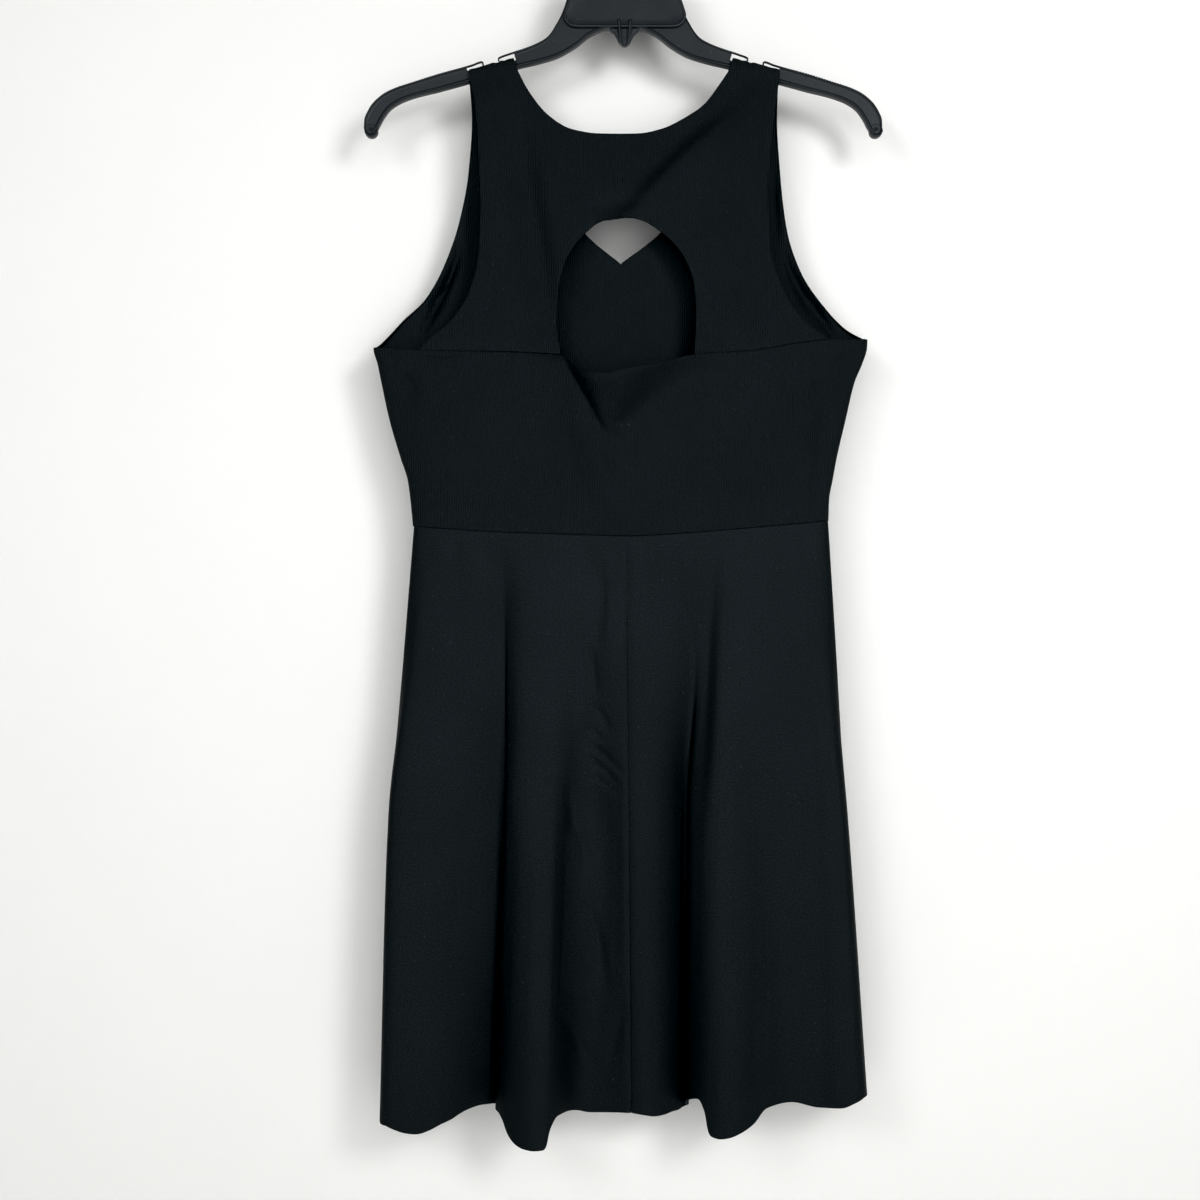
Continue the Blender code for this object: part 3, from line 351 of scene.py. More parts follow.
# Each piece of cloth: the node that it stands for, its slot, and the width, length and area of its cut in
# metres.
SHEETS = {
    "yoke_cloth": ("back_yoke", "bodice_knit", 0.345, 0.262, 0.0440),
    "midriff_cloth": ("back_midriff", "bodice_knit", 0.425, 0.168, 0.0575),
    "front_cloth": ("front_bodice", "bodice_knit", 0.430, 0.402, 0.1115),
    "skirt_back_left_cloth": ("skirt_back_left", "skirt_knit", 0.312, 0.500, 0.1130),
    "skirt_back_right_cloth": ("skirt_back_right", "skirt_knit", 0.288, 0.500, 0.1030),
    "skirt_front_cloth": ("skirt_front", "skirt_knit", 0.540, 0.500, 0.2000),
}


# ---- curves


def smooth_through(knots, values, at):
    """Reads, at each place in at, the smooth curve through the values. It doesn't overshoot them.

    Between two knots it is the cubic with the harmonic mean of the neighbouring slopes at each end.
    """
    knots, values = np.asarray(knots, float), np.asarray(values, float)
    values = values.reshape(len(knots), -1)
    span = np.diff(knots)[:, None]
    rise = np.diff(values, axis=0) / span
    before, after = rise[:-1], rise[1:]
    same_way = before * after > 0
    near, far = 2 * span[1:] + span[:-1], span[1:] + 2 * span[:-1]
    safe_before, safe_after = np.where(same_way, before, 1), np.where(same_way, after, 1)
    mean = (near + far) / (near / safe_before + far / safe_after)
    slope = np.concatenate([rise[:1], np.where(same_way, mean, 0), rise[-1:]])
    at = np.clip(np.asarray(at, float), knots[0], knots[-1])
    i = np.clip(np.searchsorted(knots, at) - 1, 0, len(knots) - 2)
    h = span[i]
    t = ((at - knots[i])[..., None]) / h
    start = (2 * t**3 - 3 * t**2 + 1) * values[i] + (t**3 - 2 * t**2 + t) * h * slope[i]
    end = (3 * t**2 - 2 * t**3) * values[i + 1] + (t**3 - t**2) * h * slope[i + 1]
    return (start + end).squeeze(-1) if values.shape[1] == 1 else start + end


def along(points, fractions):
    """Points at fractions of the length of the smooth curve through the given points."""
    points = np.array(points, float)
    steps = np.linalg.norm(np.diff(points, axis=0), axis=1)
    apart = np.append(True, steps > 1e-6)
    length = np.concatenate([[0], np.cumsum(steps)])[apart]
    return smooth_through(length, points[apart], np.asarray(fractions) * length[-1])


def blunt(fraction):
    """0 at the side of the flat tube, rising steeply to 1 at its middle, where fraction is 1."""
    return (1 - np.abs(1 - fraction) ** SIDE_BLUNTNESS) ** (1 / SIDE_BLUNTNESS)


def eased(value):
    """0 below 0 and 1 above 1, with a soft S between them."""
    value = np.clip(value, 0, 1)
    return value * value * (3 - 2 * value)


def joined(*rows):
    """Joins runs of points where each starts at the last point of the one before."""
    return np.concatenate([rows[0]] + [run[1:] for run in rows[1:]])


def creased(x, z, creases):
    """How far the creases push the cloth out at (x, z).

    Each is a bell across its own line, exp(-(distance / width)^2), on a line that bows as a parabola. The
    bell is narrower on one flank by the lean, it wavers along its line by a sine, and it fades in and out.
    """
    total = np.zeros_like(x)
    for x0, z0, x1, z1, bow, width, lean, out in zip(*creases.values()):
        dx, dz = x1 - x0, z1 - z0
        length = math.hypot(dx, dz)
        place = ((x - x0) * dx + (z - z0) * dz) / length**2
        waver = 0.2 * width * np.sin(5 * place + x0)
        aside = ((x - x0) * -dz + (z - z0) * dx) / length - bow * 4 * place * (1 - place) - waver
        flank = width * (1 - lean * np.sign(aside))
        total += out * eased(2.4 * place) * eased(2.4 * (1 - place)) * np.exp(-((aside / flank) ** 2))
    return total


def uneven(x, z, turn):
    """The slight unevenness of cloth that hangs, in millimetres: products of sines of unlike lengths."""
    broad = np.sin(x / 19.0 + z / 43.0 + turn) * np.sin(z / 31.0 - x / 71.0 + 2.1 * turn)
    small = np.sin(x / 8.3 - z / 27.0 + 3.3 * turn) * np.sin(z / 14.7 + x / 39.0 + turn)
    return 0.32 * broad + 0.12 * small


# ---- meshes


def mesh_object(name, points, faces, finish, uv=None):
    """A smooth-shaded mesh object at the origin. uv holds a place on the cloth, in metres, per point."""
    mesh = bpy.data.meshes.new(name)
    mesh.from_pydata((points * MM).tolist(), [], faces)
    mesh.polygons.foreach_set("use_smooth", np.ones(len(mesh.polygons), bool))
    if uv is not None:
        corner = np.empty(len(mesh.loops), np.int32)
        mesh.loops.foreach_get("vertex_index", corner)
        layer = mesh.uv_layers.new(name="cloth")
        layer.data.foreach_set("uv", (uv[corner] * MM).ravel())
    mesh.materials.append(finish)
    made = bpy.data.objects.new(name, mesh)
    bpy.context.scene.collection.objects.link(made)
    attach(made, "root")
    return made


def grid_quads(rows, columns, wrap=False):
    """The quads of a grid whose points run row by row. wrap joins its last column to its first."""
    index = np.arange(rows * columns).reshape(rows, columns)
    if wrap:
        index = np.concatenate([index, index[:, :1]], 1)
    corners = index[:-1, :-1], index[:-1, 1:], index[1:, 1:], index[1:, :-1]
    return np.stack([corner.ravel() for corner in corners], -1)


def unit(vectors):
    return vectors / np.maximum(np.linalg.norm(vectors, axis=-1, keepdims=True), 1e-12)


def point_normals(points, quads):
    """At each point, the mean of the normals of its quads, each the cross product of its diagonals."""
    faces = np.cross(points[quads[:, 2]] - points[quads[:, 0]], points[quads[:, 3]] - points[quads[:, 1]])
    total = np.zeros_like(points)
    for corner in range(4):
        np.add.at(total, quads[:, corner], faces)
    return unit(total)


def cloth(context, name, grids, places, faces_back):
    """Adds one piece of cloth: grids of outer points, a wall of even thickness and half-round edges.

    The inner face lies a wall's thickness below the outer one, along its normals. At every border a half
    circle joins the two, in the plane of the normal and of the direction out of the cloth.
    """
    replaced, slot, width, length, area = SHEETS[name]
    wall = context.scene.dress_cloth.wall / MM
    points = np.concatenate([grid.reshape(-1, 3) for grid in grids])
    uv = np.concatenate([place.reshape(-1, 2) for place in places])
    first, quads = 0, []
    for grid in grids:
        quads.append(grid_quads(*grid.shape[:2]) + first)
        first += grid.shape[0] * grid.shape[1]
    quads = np.concatenate(quads)
    _, kept, shared = np.unique(np.round(points, 3), axis=0, return_index=True, return_inverse=True)
    points, uv, quads = points[kept], uv[kept], shared.ravel()[quads]
    if faces_back:
        quads = quads[:, ::-1]
    normal = point_normals(points, quads)
    count = len(points)

    edges = np.concatenate([quads[:, [k, (k + 1) % 4]] for k in range(4)])
    code, reverse = edges[:, 0] * count + edges[:, 1], edges[:, 1] * count + edges[:, 0]
    border = edges[~np.isin(code, reverse)]
    step = points[border[:, 1]] - points[border[:, 0]]
    outward = np.zeros_like(points)
    for end in range(2):
        np.add.at(outward, border[:, end], unit(np.cross(step, normal[border[:, end]])))
    rim = np.unique(border)
    ring_index = np.full(count, -1)
    ring_index[rim] = np.arange(len(rim))
    out, up = unit(outward[rim]), normal[rim]
    middle = points[rim] - up * wall / 2
    rings, ids = [points], [rim]
    for k, angle in enumerate(np.linspace(0, np.pi, RIM_RINGS + 1)[1:-1]):
        rings.append(middle + wall / 2 * (up * math.cos(angle) + out * math.sin(angle)))
        ids.append(count + k * len(rim) + np.arange(len(rim)))
    inner_first = count + (RIM_RINGS - 1) * len(rim)
    rings.append(points - normal * wall)
    ids.append(inner_first + rim)
    a, b = ring_index[border.T]
    strips = [np.stack([near[b], near[a], far[a], far[b]], -1) for near, far in zip(ids[:-1], ids[1:])]
    faces = np.concatenate([quads, quads[:, ::-1] + inner_first] + strips)
    all_uv = np.concatenate([uv] + [uv[rim]] * (RIM_RINGS - 1) + [uv])
    made = mesh_object(name, np.concatenate(rings), faces.tolist(), finish_named(context, slot), all_uv)
    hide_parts(replaced)


def cloth_places(grid, centre_column):
    """Places on the cloth, in millimetres: the run across it from one column, and the height.

    The run is the sum of the steps' lengths in the XY plane, so the ribs keep their width in the folds.
    """
    step = np.hypot(np.diff(grid[..., 0], axis=1), np.diff(grid[..., 1], axis=1))
    run = np.concatenate([np.zeros_like(grid[:, :1, 0]), np.cumsum(step, axis=1)], 1)
    centre = grid[:, centre_column, 0] - run[:, centre_column]
    return np.stack([run + centre[:, None], grid[..., 2]], -1)


# ---- cloth


def across(count):
    """Places from one side of the dress to the other, closer together where it turns at its sides."""
    turn = np.array([0.0, 0.0004, 0.0012, 0.0026, 0.0045, 0.007, 0.0105, 0.015, 0.021, 0.028])
    return np.concatenate([turn, np.linspace(0.036, 0.964, count), 1 - turn[::-1]])


def waist_ring(u, facing):
    """The waist at u, 0 at the left side and 1 at the right. facing is -1 for the back, 1 for the front."""
    left, right = WAIST["x"][0], WAIST["x"][-1]
    x = left + (right - left) * u + 4 * u * (1 - u) * (WAIST_CENTRE_X - (left + right) / 2)
    depth = HALF_GAP + WAIST_DEPTH * blunt(1 - np.abs(2 * u - 1))
    return np.stack([x, facing * depth, smooth_through(WAIST["x"], WAIST["z"], x)], -1)


def hem_share(folds):
    """How far along the hem, from 0 to 1, each fold line lies."""
    hem = np.stack([folds["x_hem"], folds["y_hem"], folds["z_hem"]], -1)
    share = np.concatenate([[0], np.cumsum(np.linalg.norm(np.diff(hem, axis=0), axis=1))])
    return share / share[-1]


def fold_row(folds, columns, u):
    """One row of the skirt: the smooth curve through the fold lines, eased by a running bell mean.

    The mean leaves the turns at the two sides as they are.
    """
    fine = np.linspace(0, 1, 1601)
    row = smooth_through(hem_share(folds), np.stack([folds[name] for name in columns], -1), fine)
    reach = np.arange(-4 * FOLD_SOFTNESS, 4 * FOLD_SOFTNESS + 1)
    bell = np.exp(-0.5 * (reach / FOLD_SOFTNESS) ** 2)
    padded = np.pad(row, ((reach[-1], reach[-1]), (0, 0)), mode="edge")
    soft = np.stack([np.convolve(column, bell / bell.sum(), "valid") for column in padded.T], -1)
    inside = eased((np.minimum(fine, 1 - fine) - 0.03) / 0.05)[:, None]
    row = row + (soft - row) * inside
    return np.stack([np.interp(u, fine, column) for column in row.T], -1)


def skirt_grid(folds, facing, u, downs, creases, turn):
    """A skirt panel: u runs across, and downs from the waist at 0 to the hem at 1.

    Each column is the smooth curve through its places at the waist, a little lower, halfway and at the
    hem. On the back, the second of these leans right from the centre seam on, as a bell past the deepest
    fold line, and the centre seam meets the middle of the waist. Creases, small puckers that fade out
    below the waist seam, and a slight unevenness push it in and out along Y.
    """
    centre = hem_share(folds)[CENTRE_BACK_ROW] if facing < 0 else 0.5
    top = waist_ring(u + (0.5 - centre) / (centre * (1 - centre)) * u * (1 - u), facing)
    top[:, 2] -= HALF_GAP
    low = fold_row(folds, ("x_hem", "y_hem", "z_hem"), u)
    mid = fold_row(folds, ("x_mid", "y_mid"), u)
    mid = np.concatenate([mid, ((top + low) / 2)[:, 2:]], -1)
    for row in (mid, low):
        row[:, 1] += facing * HALF_GAP
    high = top + (mid - top) * LOW_SHARE
    if facing < 0:
        deep = hem_share(folds)[LEANING_ROW]
        past = np.exp(-((np.maximum(u - deep, 0) / 0.16) ** 2))
        high[:, 0] += HIGH_LEAN * eased((u - centre) / (deep - centre)) * past
    grid = smooth_through(DOWN_SHARES, np.stack([top, high, mid, low]), downs)
    grid = grid.reshape(len(downs), len(u), 3)
    x, z = grid[..., 0], grid[..., 2]
    inside = eased(np.minimum(u, 1 - u) / 0.05)
    fade = inside * eased(downs / 0.03)[:, None]
    pucker = 0.3 * np.sin(x / 5.1 + 1.7 * np.sin(x / 23)) * np.exp(-((downs[:, None] - 0.03) ** 2) / 0.0012)
    grid[..., 1] += facing * (creased(x, z, creases) + uneven(x, z, turn) + pucker) * fade
    return grid


def skirt_panel(context, name, folds, facing, u, creases, turn):
    """Adds one panel of the skirt, of 300 rows from the waist to the hem."""
    grid = skirt_grid(folds, facing, u, np.linspace(0, 1, 300), creases, turn)
    places = cloth_places(grid, int(np.abs(u - u.mean()).argmin()))
    cloth(context, name, [grid], [places], facing < 0)


def slack_out(x, z, edge_z):
    """The slack under the keyhole: a pouch that rises at once from a slanting line, with its rim rolled in.

    Across it the pouch is tanh(share) and then a falling bell, and it wanes evenly down to the foot.
    The roll is a bell below the free edge at edge_z.
    """
    foot_x, foot_z = SLACK["foot"]
    down = (SLACK["top_z"] - z) / (SLACK["top_z"] - foot_z)
    left, right = (SLACK[side] + (foot_x - SLACK[side]) * down for side in ("left_x", "right_x"))
    place = (x - left) / np.maximum(right - left, 12.0)
    rise = np.tanh(np.maximum(place, 0) / 0.22)
    wane = np.exp(-((np.maximum(place - 0.7, 0) / 0.7) ** 2))
    fade = np.clip(1 - down, 0, 1.1) ** 1.1
    roll = np.exp(-(((edge_z - z) / 3.0) ** 2)) * np.exp(-(((place - 0.35) / 0.6) ** 2))
    return SLACK["out"] * rise * wane * fade - SLACK["roll"] * roll


def underarm_at(x):
    """The top edge of the back panel at each x."""
    return np.stack([x] + [smooth_through(UNDERARM["x"], UNDERARM[name], x) for name in "yz"], -1)


def side_at(side, z):
    """The x of one side of the dress at each height."""
    return smooth_through(SIDES["z"][::-1], SIDES[side][::-1], z)


def midriff_grid():
    """The back panel, from its top edge to the waist seam: straight down in x and an S curve in y."""
    u = across(200)
    x = UNDERARM["x"][0] + (UNDERARM["x"][-1] - UNDERARM["x"][0]) * u
    top = underarm_at(x) - (0, HALF_GAP, HALF_GAP)
    low = waist_ring(u, -1) + (0, 0, HALF_GAP)
    t = np.linspace(0, 1, 110)[:, None]
    z = top[:, 2] + (low[:, 2] - top[:, 2]) * t
    left, right = side_at("left", z), side_at("right", z)
    share_at_waist = (low[:, 0] - low[0, 0]) / (low[-1, 0] - low[0, 0])
    x = left + (right - left) * (u + (share_at_waist - u) * t)
    y = top[:, 1] + (low[:, 1] - top[:, 1]) * eased(t)
    inside = eased(np.minimum(u, 1 - u) / 0.05) * eased((1 - t) / 0.04)
    out = creased(x, z, MIDRIFF_CREASES) + slack_out(x, z, top[:, 2]) + uneven(x, z, 0.7) * eased(t / 0.1)
    return np.stack([x, y - out * inside, z], -1)


def shoulder_rows(shoulder, first_row, facing):
    """Rows that carry a strap from its first row up over the hanger, to the seam on top.

    Depth and height follow a rounded square, |y|^4 + |z|^4 = 1, with a few shallow wrinkles on top.
    """
    v = np.linspace(0, 1, len(first_row))[:, None]
    seam = np.array(shoulder[0]) * (1 - v) + np.array(shoulder[1]) * v
    angle = np.linspace(np.pi / 2, 0, 25)[:-1, None, None]
    out = np.cos(angle) ** (2 / ARCH_SQUARENESS)
    up = np.sin(angle) ** (2 / ARCH_SQUARENESS)
    xz = first_row[:, ::2] + (seam - first_row[:, ::2]) * up
    y = facing * (HALF_GAP + (STRAP_DEPTH - HALF_GAP) * out)
    wrinkle = 0.55 * np.sin(19.0 * v[:, 0] + 2.0 * np.sin(9.0 * v[:, 0])) * np.sin(np.pi * v[:, 0])
    z = xz[..., 1] + wrinkle * up[..., 0] ** 2
    return np.stack([xz[..., 0], np.broadcast_to(y[..., 0], z.shape), z], -1)


def with_strap(grid, shoulder, facing):
    """One half of the bodice, eased to its strap's depth at the top, after the rows over the hanger."""
    top = grid[0].copy()
    top[:, 1] = facing * STRAP_DEPTH
    down = np.linspace(0, 1, len(grid))[:, None]
    grid[..., 1] += (top[:, 1] - grid[0, :, 1]) * eased(1 - down / 0.06)
    return np.concatenate([shoulder_rows(shoulder, top, facing), grid])


def yoke_depth(x, z):
    """How far the yoke stands out: one table down the middle and one down the arms, blended across."""
    middle, arms = (smooth_through(YOKE_DEPTH["z"], YOKE_DEPTH[name], z) for name in ("middle", "arms"))
    return middle + (arms - middle) * eased((np.abs(x) - 50) / 70)


def yoke_half(armhole, neck, keyhole, shoulder):
    """One side of the yoke, ruled from its armhole to its neck, centre line and keyhole.

    Its depth is a smooth function of x and z, blended into the seam with the back panel at its foot.
    """
    inner = joined(
        along(neck, np.linspace(0, 1, 65)),
        along(YOKE_CENTRE, np.linspace(0, 1, 33)),
        along(keyhole, np.linspace(0, 1, 81)),
    )
    outer = along(armhole, np.interp(np.arange(177), (0, 64, 96, 176), (0, 0.36, 0.54, 1)))
    v = np.linspace(0, 1, 68)[:, None]
    grid = outer[:, None] * (1 - v) + inner[:, None] * v
    # The last rows come down to the seam with the back panel.
    foot = underarm_at(grid[-1, :, 0]) + (0, -HALF_GAP, HALF_GAP)
    near_foot = eased((np.linspace(0, 1, len(grid))[:, None] - 0.75) / 0.25)
    grid[..., 2] += (foot[:, 2] - grid[-1, :, 2]) * near_foot
    x, z = grid[..., 0], grid[..., 2]
    grid[..., 1] = -yoke_depth(x, z)
    grid[..., 1] += (foot[:, 1] - grid[-1, :, 1]) * near_foot
    fade = eased((z + 400) / 24) * eased((SHOULDER_Z - z) / 18)
    grid[..., 1] -= (creased(x, z, YOKE_CREASES) + uneven(x, z, 1.9)) * fade
    return with_strap(grid, shoulder, -1)


def strap_places(grid):
    """Places on a strap and what hangs from it: its x, and its height plus the way over the hanger."""
    over = np.clip(STRAP_DEPTH - np.abs(grid[..., 1]), 0, None) * (grid[..., 2] > SHOULDER_Z - 1)
    return np.stack([grid[..., 0], grid[..., 2] + over], -1)


def front_half(armhole, v_neck, shoulder, side, u_side):
    """One side of the front, ruled from its armhole and side seam to its neck edge and centre line."""
    waist_centre = waist_ring(np.array([0.5]), 1)[0]
    waist_side = waist_ring(np.array([u_side]), 1)[0]
    inner = joined(
        along(v_neck, np.linspace(0, 1, 71)),
        np.linspace(v_neck[-1], FRONT_CENTRE_MID, 36),
        np.linspace(FRONT_CENTRE_MID, waist_centre, 64),
    )
    z = np.linspace(armhole[-1][2], waist_side[2], 64)
    seam = np.stack([side_at(side, z), np.zeros_like(z), z], -1)
    outer = joined(along(armhole, np.interp(np.arange(106), (0, 70, 105), (0, 0.62, 1))), seam)
    v = np.concatenate([[0, 0.0008, 0.0024, 0.0055, 0.011, 0.02, 0.034], np.linspace(0.055, 1, 52)])[:, None]
    grid = outer[:, None] * (1 - v) + inner[:, None] * v
    rise = blunt(v)[..., 0]
    grid[..., 1] = HALF_GAP + outer[:, 1, None] + (inner[:, 1] - outer[:, 1])[:, None] * rise
    # The last row is the waist itself, which curves.
    waist = waist_ring(u_side + (0.5 - u_side) * v[:, 0], 1)
    down = np.linspace(0, 1, len(grid))[:, None, None]
    grid += (waist - grid[-1]) * eased((down - 0.7) / 0.3)
    grid[..., 2] += HALF_GAP * down[..., 0]
    x, z = grid[..., 0], grid[..., 2]
    fade = eased((z + 546) / 30) * eased((-172 - z) / 20) * eased(v[:, 0] / 0.05)
    grid[..., 1] += (creased(x, z, FRONT_CREASES) + uneven(x, z, 3.1)) * fade
    return with_strap(grid, shoulder, 1)


# ---- hanger


def closed_loops(name, loops, finish, replaced):
    """Loops of points, one after another, joined by quads and closed by a face at each end."""
    rows, size = loops.shape[:2]
    faces = grid_quads(rows, size, wrap=True)
    last = (rows - 1) * size
    ends = [list(range(size))[::-1], list(range(last, last + size))]
    made = mesh_object(name, loops.reshape(-1, 3), faces.tolist() + ends, finish)
    shape = bmesh.new()
    shape.from_mesh(made.data)
    bmesh.ops.recalc_face_normals(shape, faces=shape.faces)
    shape.to_mesh(made.data)
    shape.free()
    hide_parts(replaced)


def share_at(outline, x):
    """How far along a hanger outline, from 0 to 1, it reaches each x. It is read short of the tip."""
    shares = np.linspace(0, 0.9, 361)
    return np.interp(x, along(outline, shares)[:, 0], shares)


def arm_loops(rim_height):
    """Sections along the whole hanger: I shapes with rounded rims, a notch for each strap on top.

    A section is the rim profile at its foot, the web, and the rim profile again at its top, on the near
    side and then on the far side. The tops of the outer arms carry shallow teeth, a sine along X.
    """
    notch_x = np.array([NOTCH_INNER_X, NOTCH_OUTER_X])
    top_marks = share_at(ARM_TOP, notch_x)
    shelf_mark = share_at(ARM_TOP, NOTCH_SHELF_X)
    foot_marks = share_at(ARM_FOOT, notch_x - SECTION_LEAN)
    teeth = share_at(ARM_TOP, TEETH_X)
    marks = np.append(top_marks, shelf_mark)
    beside = 0.0006  # how near both sides of each step in the top have a section
    share = [np.linspace(0, 1, 150), np.linspace(*teeth, 170), marks - beside, marks + beside]
    share = np.sort(np.concatenate(share))
    foot = along(ARM_FOOT, np.interp(share, [0, *top_marks, 1], [0, *foot_marks, 1]))
    top = along(ARM_TOP, share)
    up = unit(top - foot)
    in_notch = ((top[:, 0] > NOTCH_INNER_X) & (top[:, 0] < NOTCH_OUTER_X))[:, None]
    toothed = ((share > teeth[0]) & (share < teeth[1]))[:, None]
    top = top + up * TOOTH_HEIGHT * np.sin(2 * np.pi * top[:, :1] / TOOTH_LENGTH) * toothed
    on_shelf = (top[:, :1] > NOTCH_SHELF_X) * 0.5
    top = top - up * NOTCH_DEPTH * (1 - on_shelf) * in_notch
    fuller = END_SWELL * eased((share - 0.84) / 0.1)[:, None]
    top, foot = top + up * fuller, foot - up * fuller
    height = np.linalg.norm(top - foot, axis=1)[:, None]
    rim = np.minimum(rim_height, height * 0.28)
    near = np.concatenate([RIM_PROFILE["height"] * rim, rim + FILLET_LIFT], 1)
    lifts = np.concatenate([near, height - near[:, ::-1]], 1)
    web = np.ones_like(height) * (FILLET_OUT + WEB_THICKNESS / 2)
    top_rim = np.where(in_notch, NOTCH_FLOOR_DEPTH, ARM_DEPTH) / 2
    foot_rim = np.full_like(height, ARM_DEPTH / 2)
    profile = RIM_PROFILE["depth"]
    depths = np.concatenate([foot_rim * profile, web, web[:, ::-1], top_rim * profile[::-1]], 1)
    lifts = np.concatenate([lifts, lifts[:, ::-1]], 1)
    depths = np.concatenate([-depths, depths[:, ::-1]], 1)
    right = np.stack([foot[:, :1] + up[:, :1] * lifts, depths, foot[:, 1:] + up[:, 1:] * lifts], -1)
    return np.concatenate([right[:0:-1] * (-1, 1, 1), right])


def outline_round(half, centre_x):
    """A closed outline of 240 even steps, from one half that is mirrored about centre_x."""
    right = np.stack([half["x"], half["z"]], -1)
    whole = np.concatenate([right, (right * (-1, 1))[::-1], right[:1]])
    return along(whole, np.linspace(0, 1, 241)[:-1]) + (centre_x, 0)


def plate_loops(outline, middle, near, far, rim=0, recess=0):
    """A plate with an outline of points (x, z): rounded edges, and inside its rim a recess on each side.

    Loops are the outline drawn in by a distance, each at its own depth, and then drawn to the middle. They
    run from the middle of the near side over the edge to the middle of the far side.
    """
    along_edge = unit(np.roll(outline, -1, 0) - np.roll(outline, 1, 0))
    inward = np.stack([-along_edge[:, 1], along_edge[:, 0]], -1)
    if ((middle - outline) * inward).sum() < 0:
        inward = -inward
    steps = [(0.0, -1.0), (0.12, -0.5), (0.5, -0.12), (1.0, 0.0)]
    if recess:
        steps += [(rim, 0.0), (rim + 0.3, -0.1), (rim + 0.7, 0.1 - recess), (rim + 1.1, -recess)]

    def face(depth):
        rings = [(outline + inward * inset, depth + drop) for inset, drop in steps]
        core, floor = rings[-1]
        return rings + [(middle + (core - middle) * share, floor) for share in (0.8, 0.5, 0.2, 0.02)]

    rings = [(place, -depth) for place, depth in face(near)[::-1]] + face(far)
    return np.stack([np.stack([p[:, 0], np.full(len(p), d), p[:, 1]], -1) for p, d in rings])


def swept_loops(path, half_widths, half_depths, middle_y=0, count=24, power=1):
    """A bar or tube along a path of points (x, z), of its own width and depth at each point.

    Its section is the rounded square |cos|^power by |sin|^power, which is a circle where power is 1.
    """
    step = unit(np.gradient(path, axis=0))
    side = np.stack([-step[:, 1], step[:, 0]], -1)
    turn = np.linspace(0, 2 * np.pi, count + 1)[:-1]
    wide, deep = (np.sign(wave) * np.abs(wave) ** power for wave in (np.cos(turn), np.sin(turn)))
    flat = path[:, None] + side[:, None] * (half_widths[:, None] * wide)[..., None]
    return np.stack([flat[..., 0], middle_y + half_depths[:, None] * deep, flat[..., 1]], -1)


def bar_loops(path, widths, near_y, far_y):
    """A bar with rounded edges between two depths."""
    half_depths = np.full(len(path), abs(far_y - near_y) / 2)
    return swept_loops(path, widths / 2, half_depths, (near_y + far_y) / 2, 16, 0.6)


def turned_loops(profile, centre=(0, 0), upright=False):
    """A round boss: a profile of (radius, out) turned about its centre, out along Y or, if upright, Z."""
    turn = np.linspace(0, 2 * np.pi, 41)[:-1]
    across_x = centre[0] + profile["radius"][:, None] * np.cos(turn)
    other = centre[1] + profile["radius"][:, None] * np.sin(turn)
    out = np.broadcast_to(profile["out"][:, None], other.shape)
    return np.stack([across_x, other, out] if upright else [across_x, out, other], -1)


def tip_loops(side):
    """The round end of an arm: a face level with the web, a small nib, and a rim away from the arm.

    Both faces are a profile turned about an axis along Y. The rim's height is an S curve of the direction.
    """
    turn = np.linspace(0, 2 * np.pi, 49)[:-1]
    radius, face, rim = TIP_PROFILE["radius"], TIP_PROFILE["face"], TIP_PROFILE["rim"]
    away = eased(0.75 + 1.6 * (0.15 * side * np.cos(turn) - np.sin(turn)))
    y = -(face[:, None] + (rim - face)[:, None] * away)
    x = side * TIP_CENTRE[0] + TIP_SHIFT_X + radius[:, None] * np.cos(turn)
    z = TIP_CENTRE[1] + radius[:, None] * np.sin(turn)
    near = np.stack([x, y, z], -1)
    return np.concatenate([near, near[::-1] * (1, -1, 1)])


def spike_rib_loops(side):
    """One rib beside the spike: a bar that narrows to its end."""
    share = np.linspace(0, 1, 24)
    path = along(np.stack([SPIKE_CENTRE[0] + side * SPIKE_RIB["x"], SPIKE_RIB["z"]], -1), share)
    widths = np.interp(share, SPIKE_RIB_WIDTH["share"], SPIKE_RIB_WIDTH["width"])
    return bar_loops(path, widths, -6.0, -1.5)


def lip_loops(side, wall_x, end_x):
    """A thin bar over a notch, from the notch's wall to end_x, that turns down into a nib at its end."""
    outward = np.sign(end_x - wall_x)
    line = np.array(ARM_TOP)[8:14]
    x0, bend = wall_x - outward * 3.0, end_x - outward * 0.6
    z0, z1 = np.interp((x0, end_x), line[:, 0], line[:, 1]) - 0.75
    halfway = ((x0 + bend) / 2, (z0 + z1) / 2)
    path = ((x0, z0), halfway, (bend - outward, z1), (bend, z1 - 0.8), (bend, z1 - 2.4))
    path = along(path, np.concatenate([[0, 0.002], np.linspace(0.05, 0.95, 40), [0.998, 1]])) * (side, 1)
    widths = np.concatenate([[0.8], np.full(len(path) - 2, 1.2), [0.8]])
    return bar_loops(path, widths, -3.8, -1.2)


def hook_loops(radius):
    """The wire hook: a straight stem, a bend to one side and a round that ends in a dome beside it."""
    angles = np.radians(np.linspace(-38.0, 200.0, 60))
    reach = CROWN_RADIUS + radius
    round_part = np.array([0.0, -CROWN_RADIUS]) + reach * np.stack([np.cos(angles), np.sin(angles)], -1)
    path = along(np.concatenate([HOOK_STEM, round_part]), np.linspace(0, 1, 260))
    onward = unit(path[-1] - path[-2])
    dome = np.linspace(0.2, 1.5, 6)
    path = np.concatenate([path, path[-1] + onward * radius * np.sin(dome)[:, None]])
    radii = np.concatenate([np.full(260, radius), radius * np.cos(dome)])
    return swept_loops(path, radii, radii)


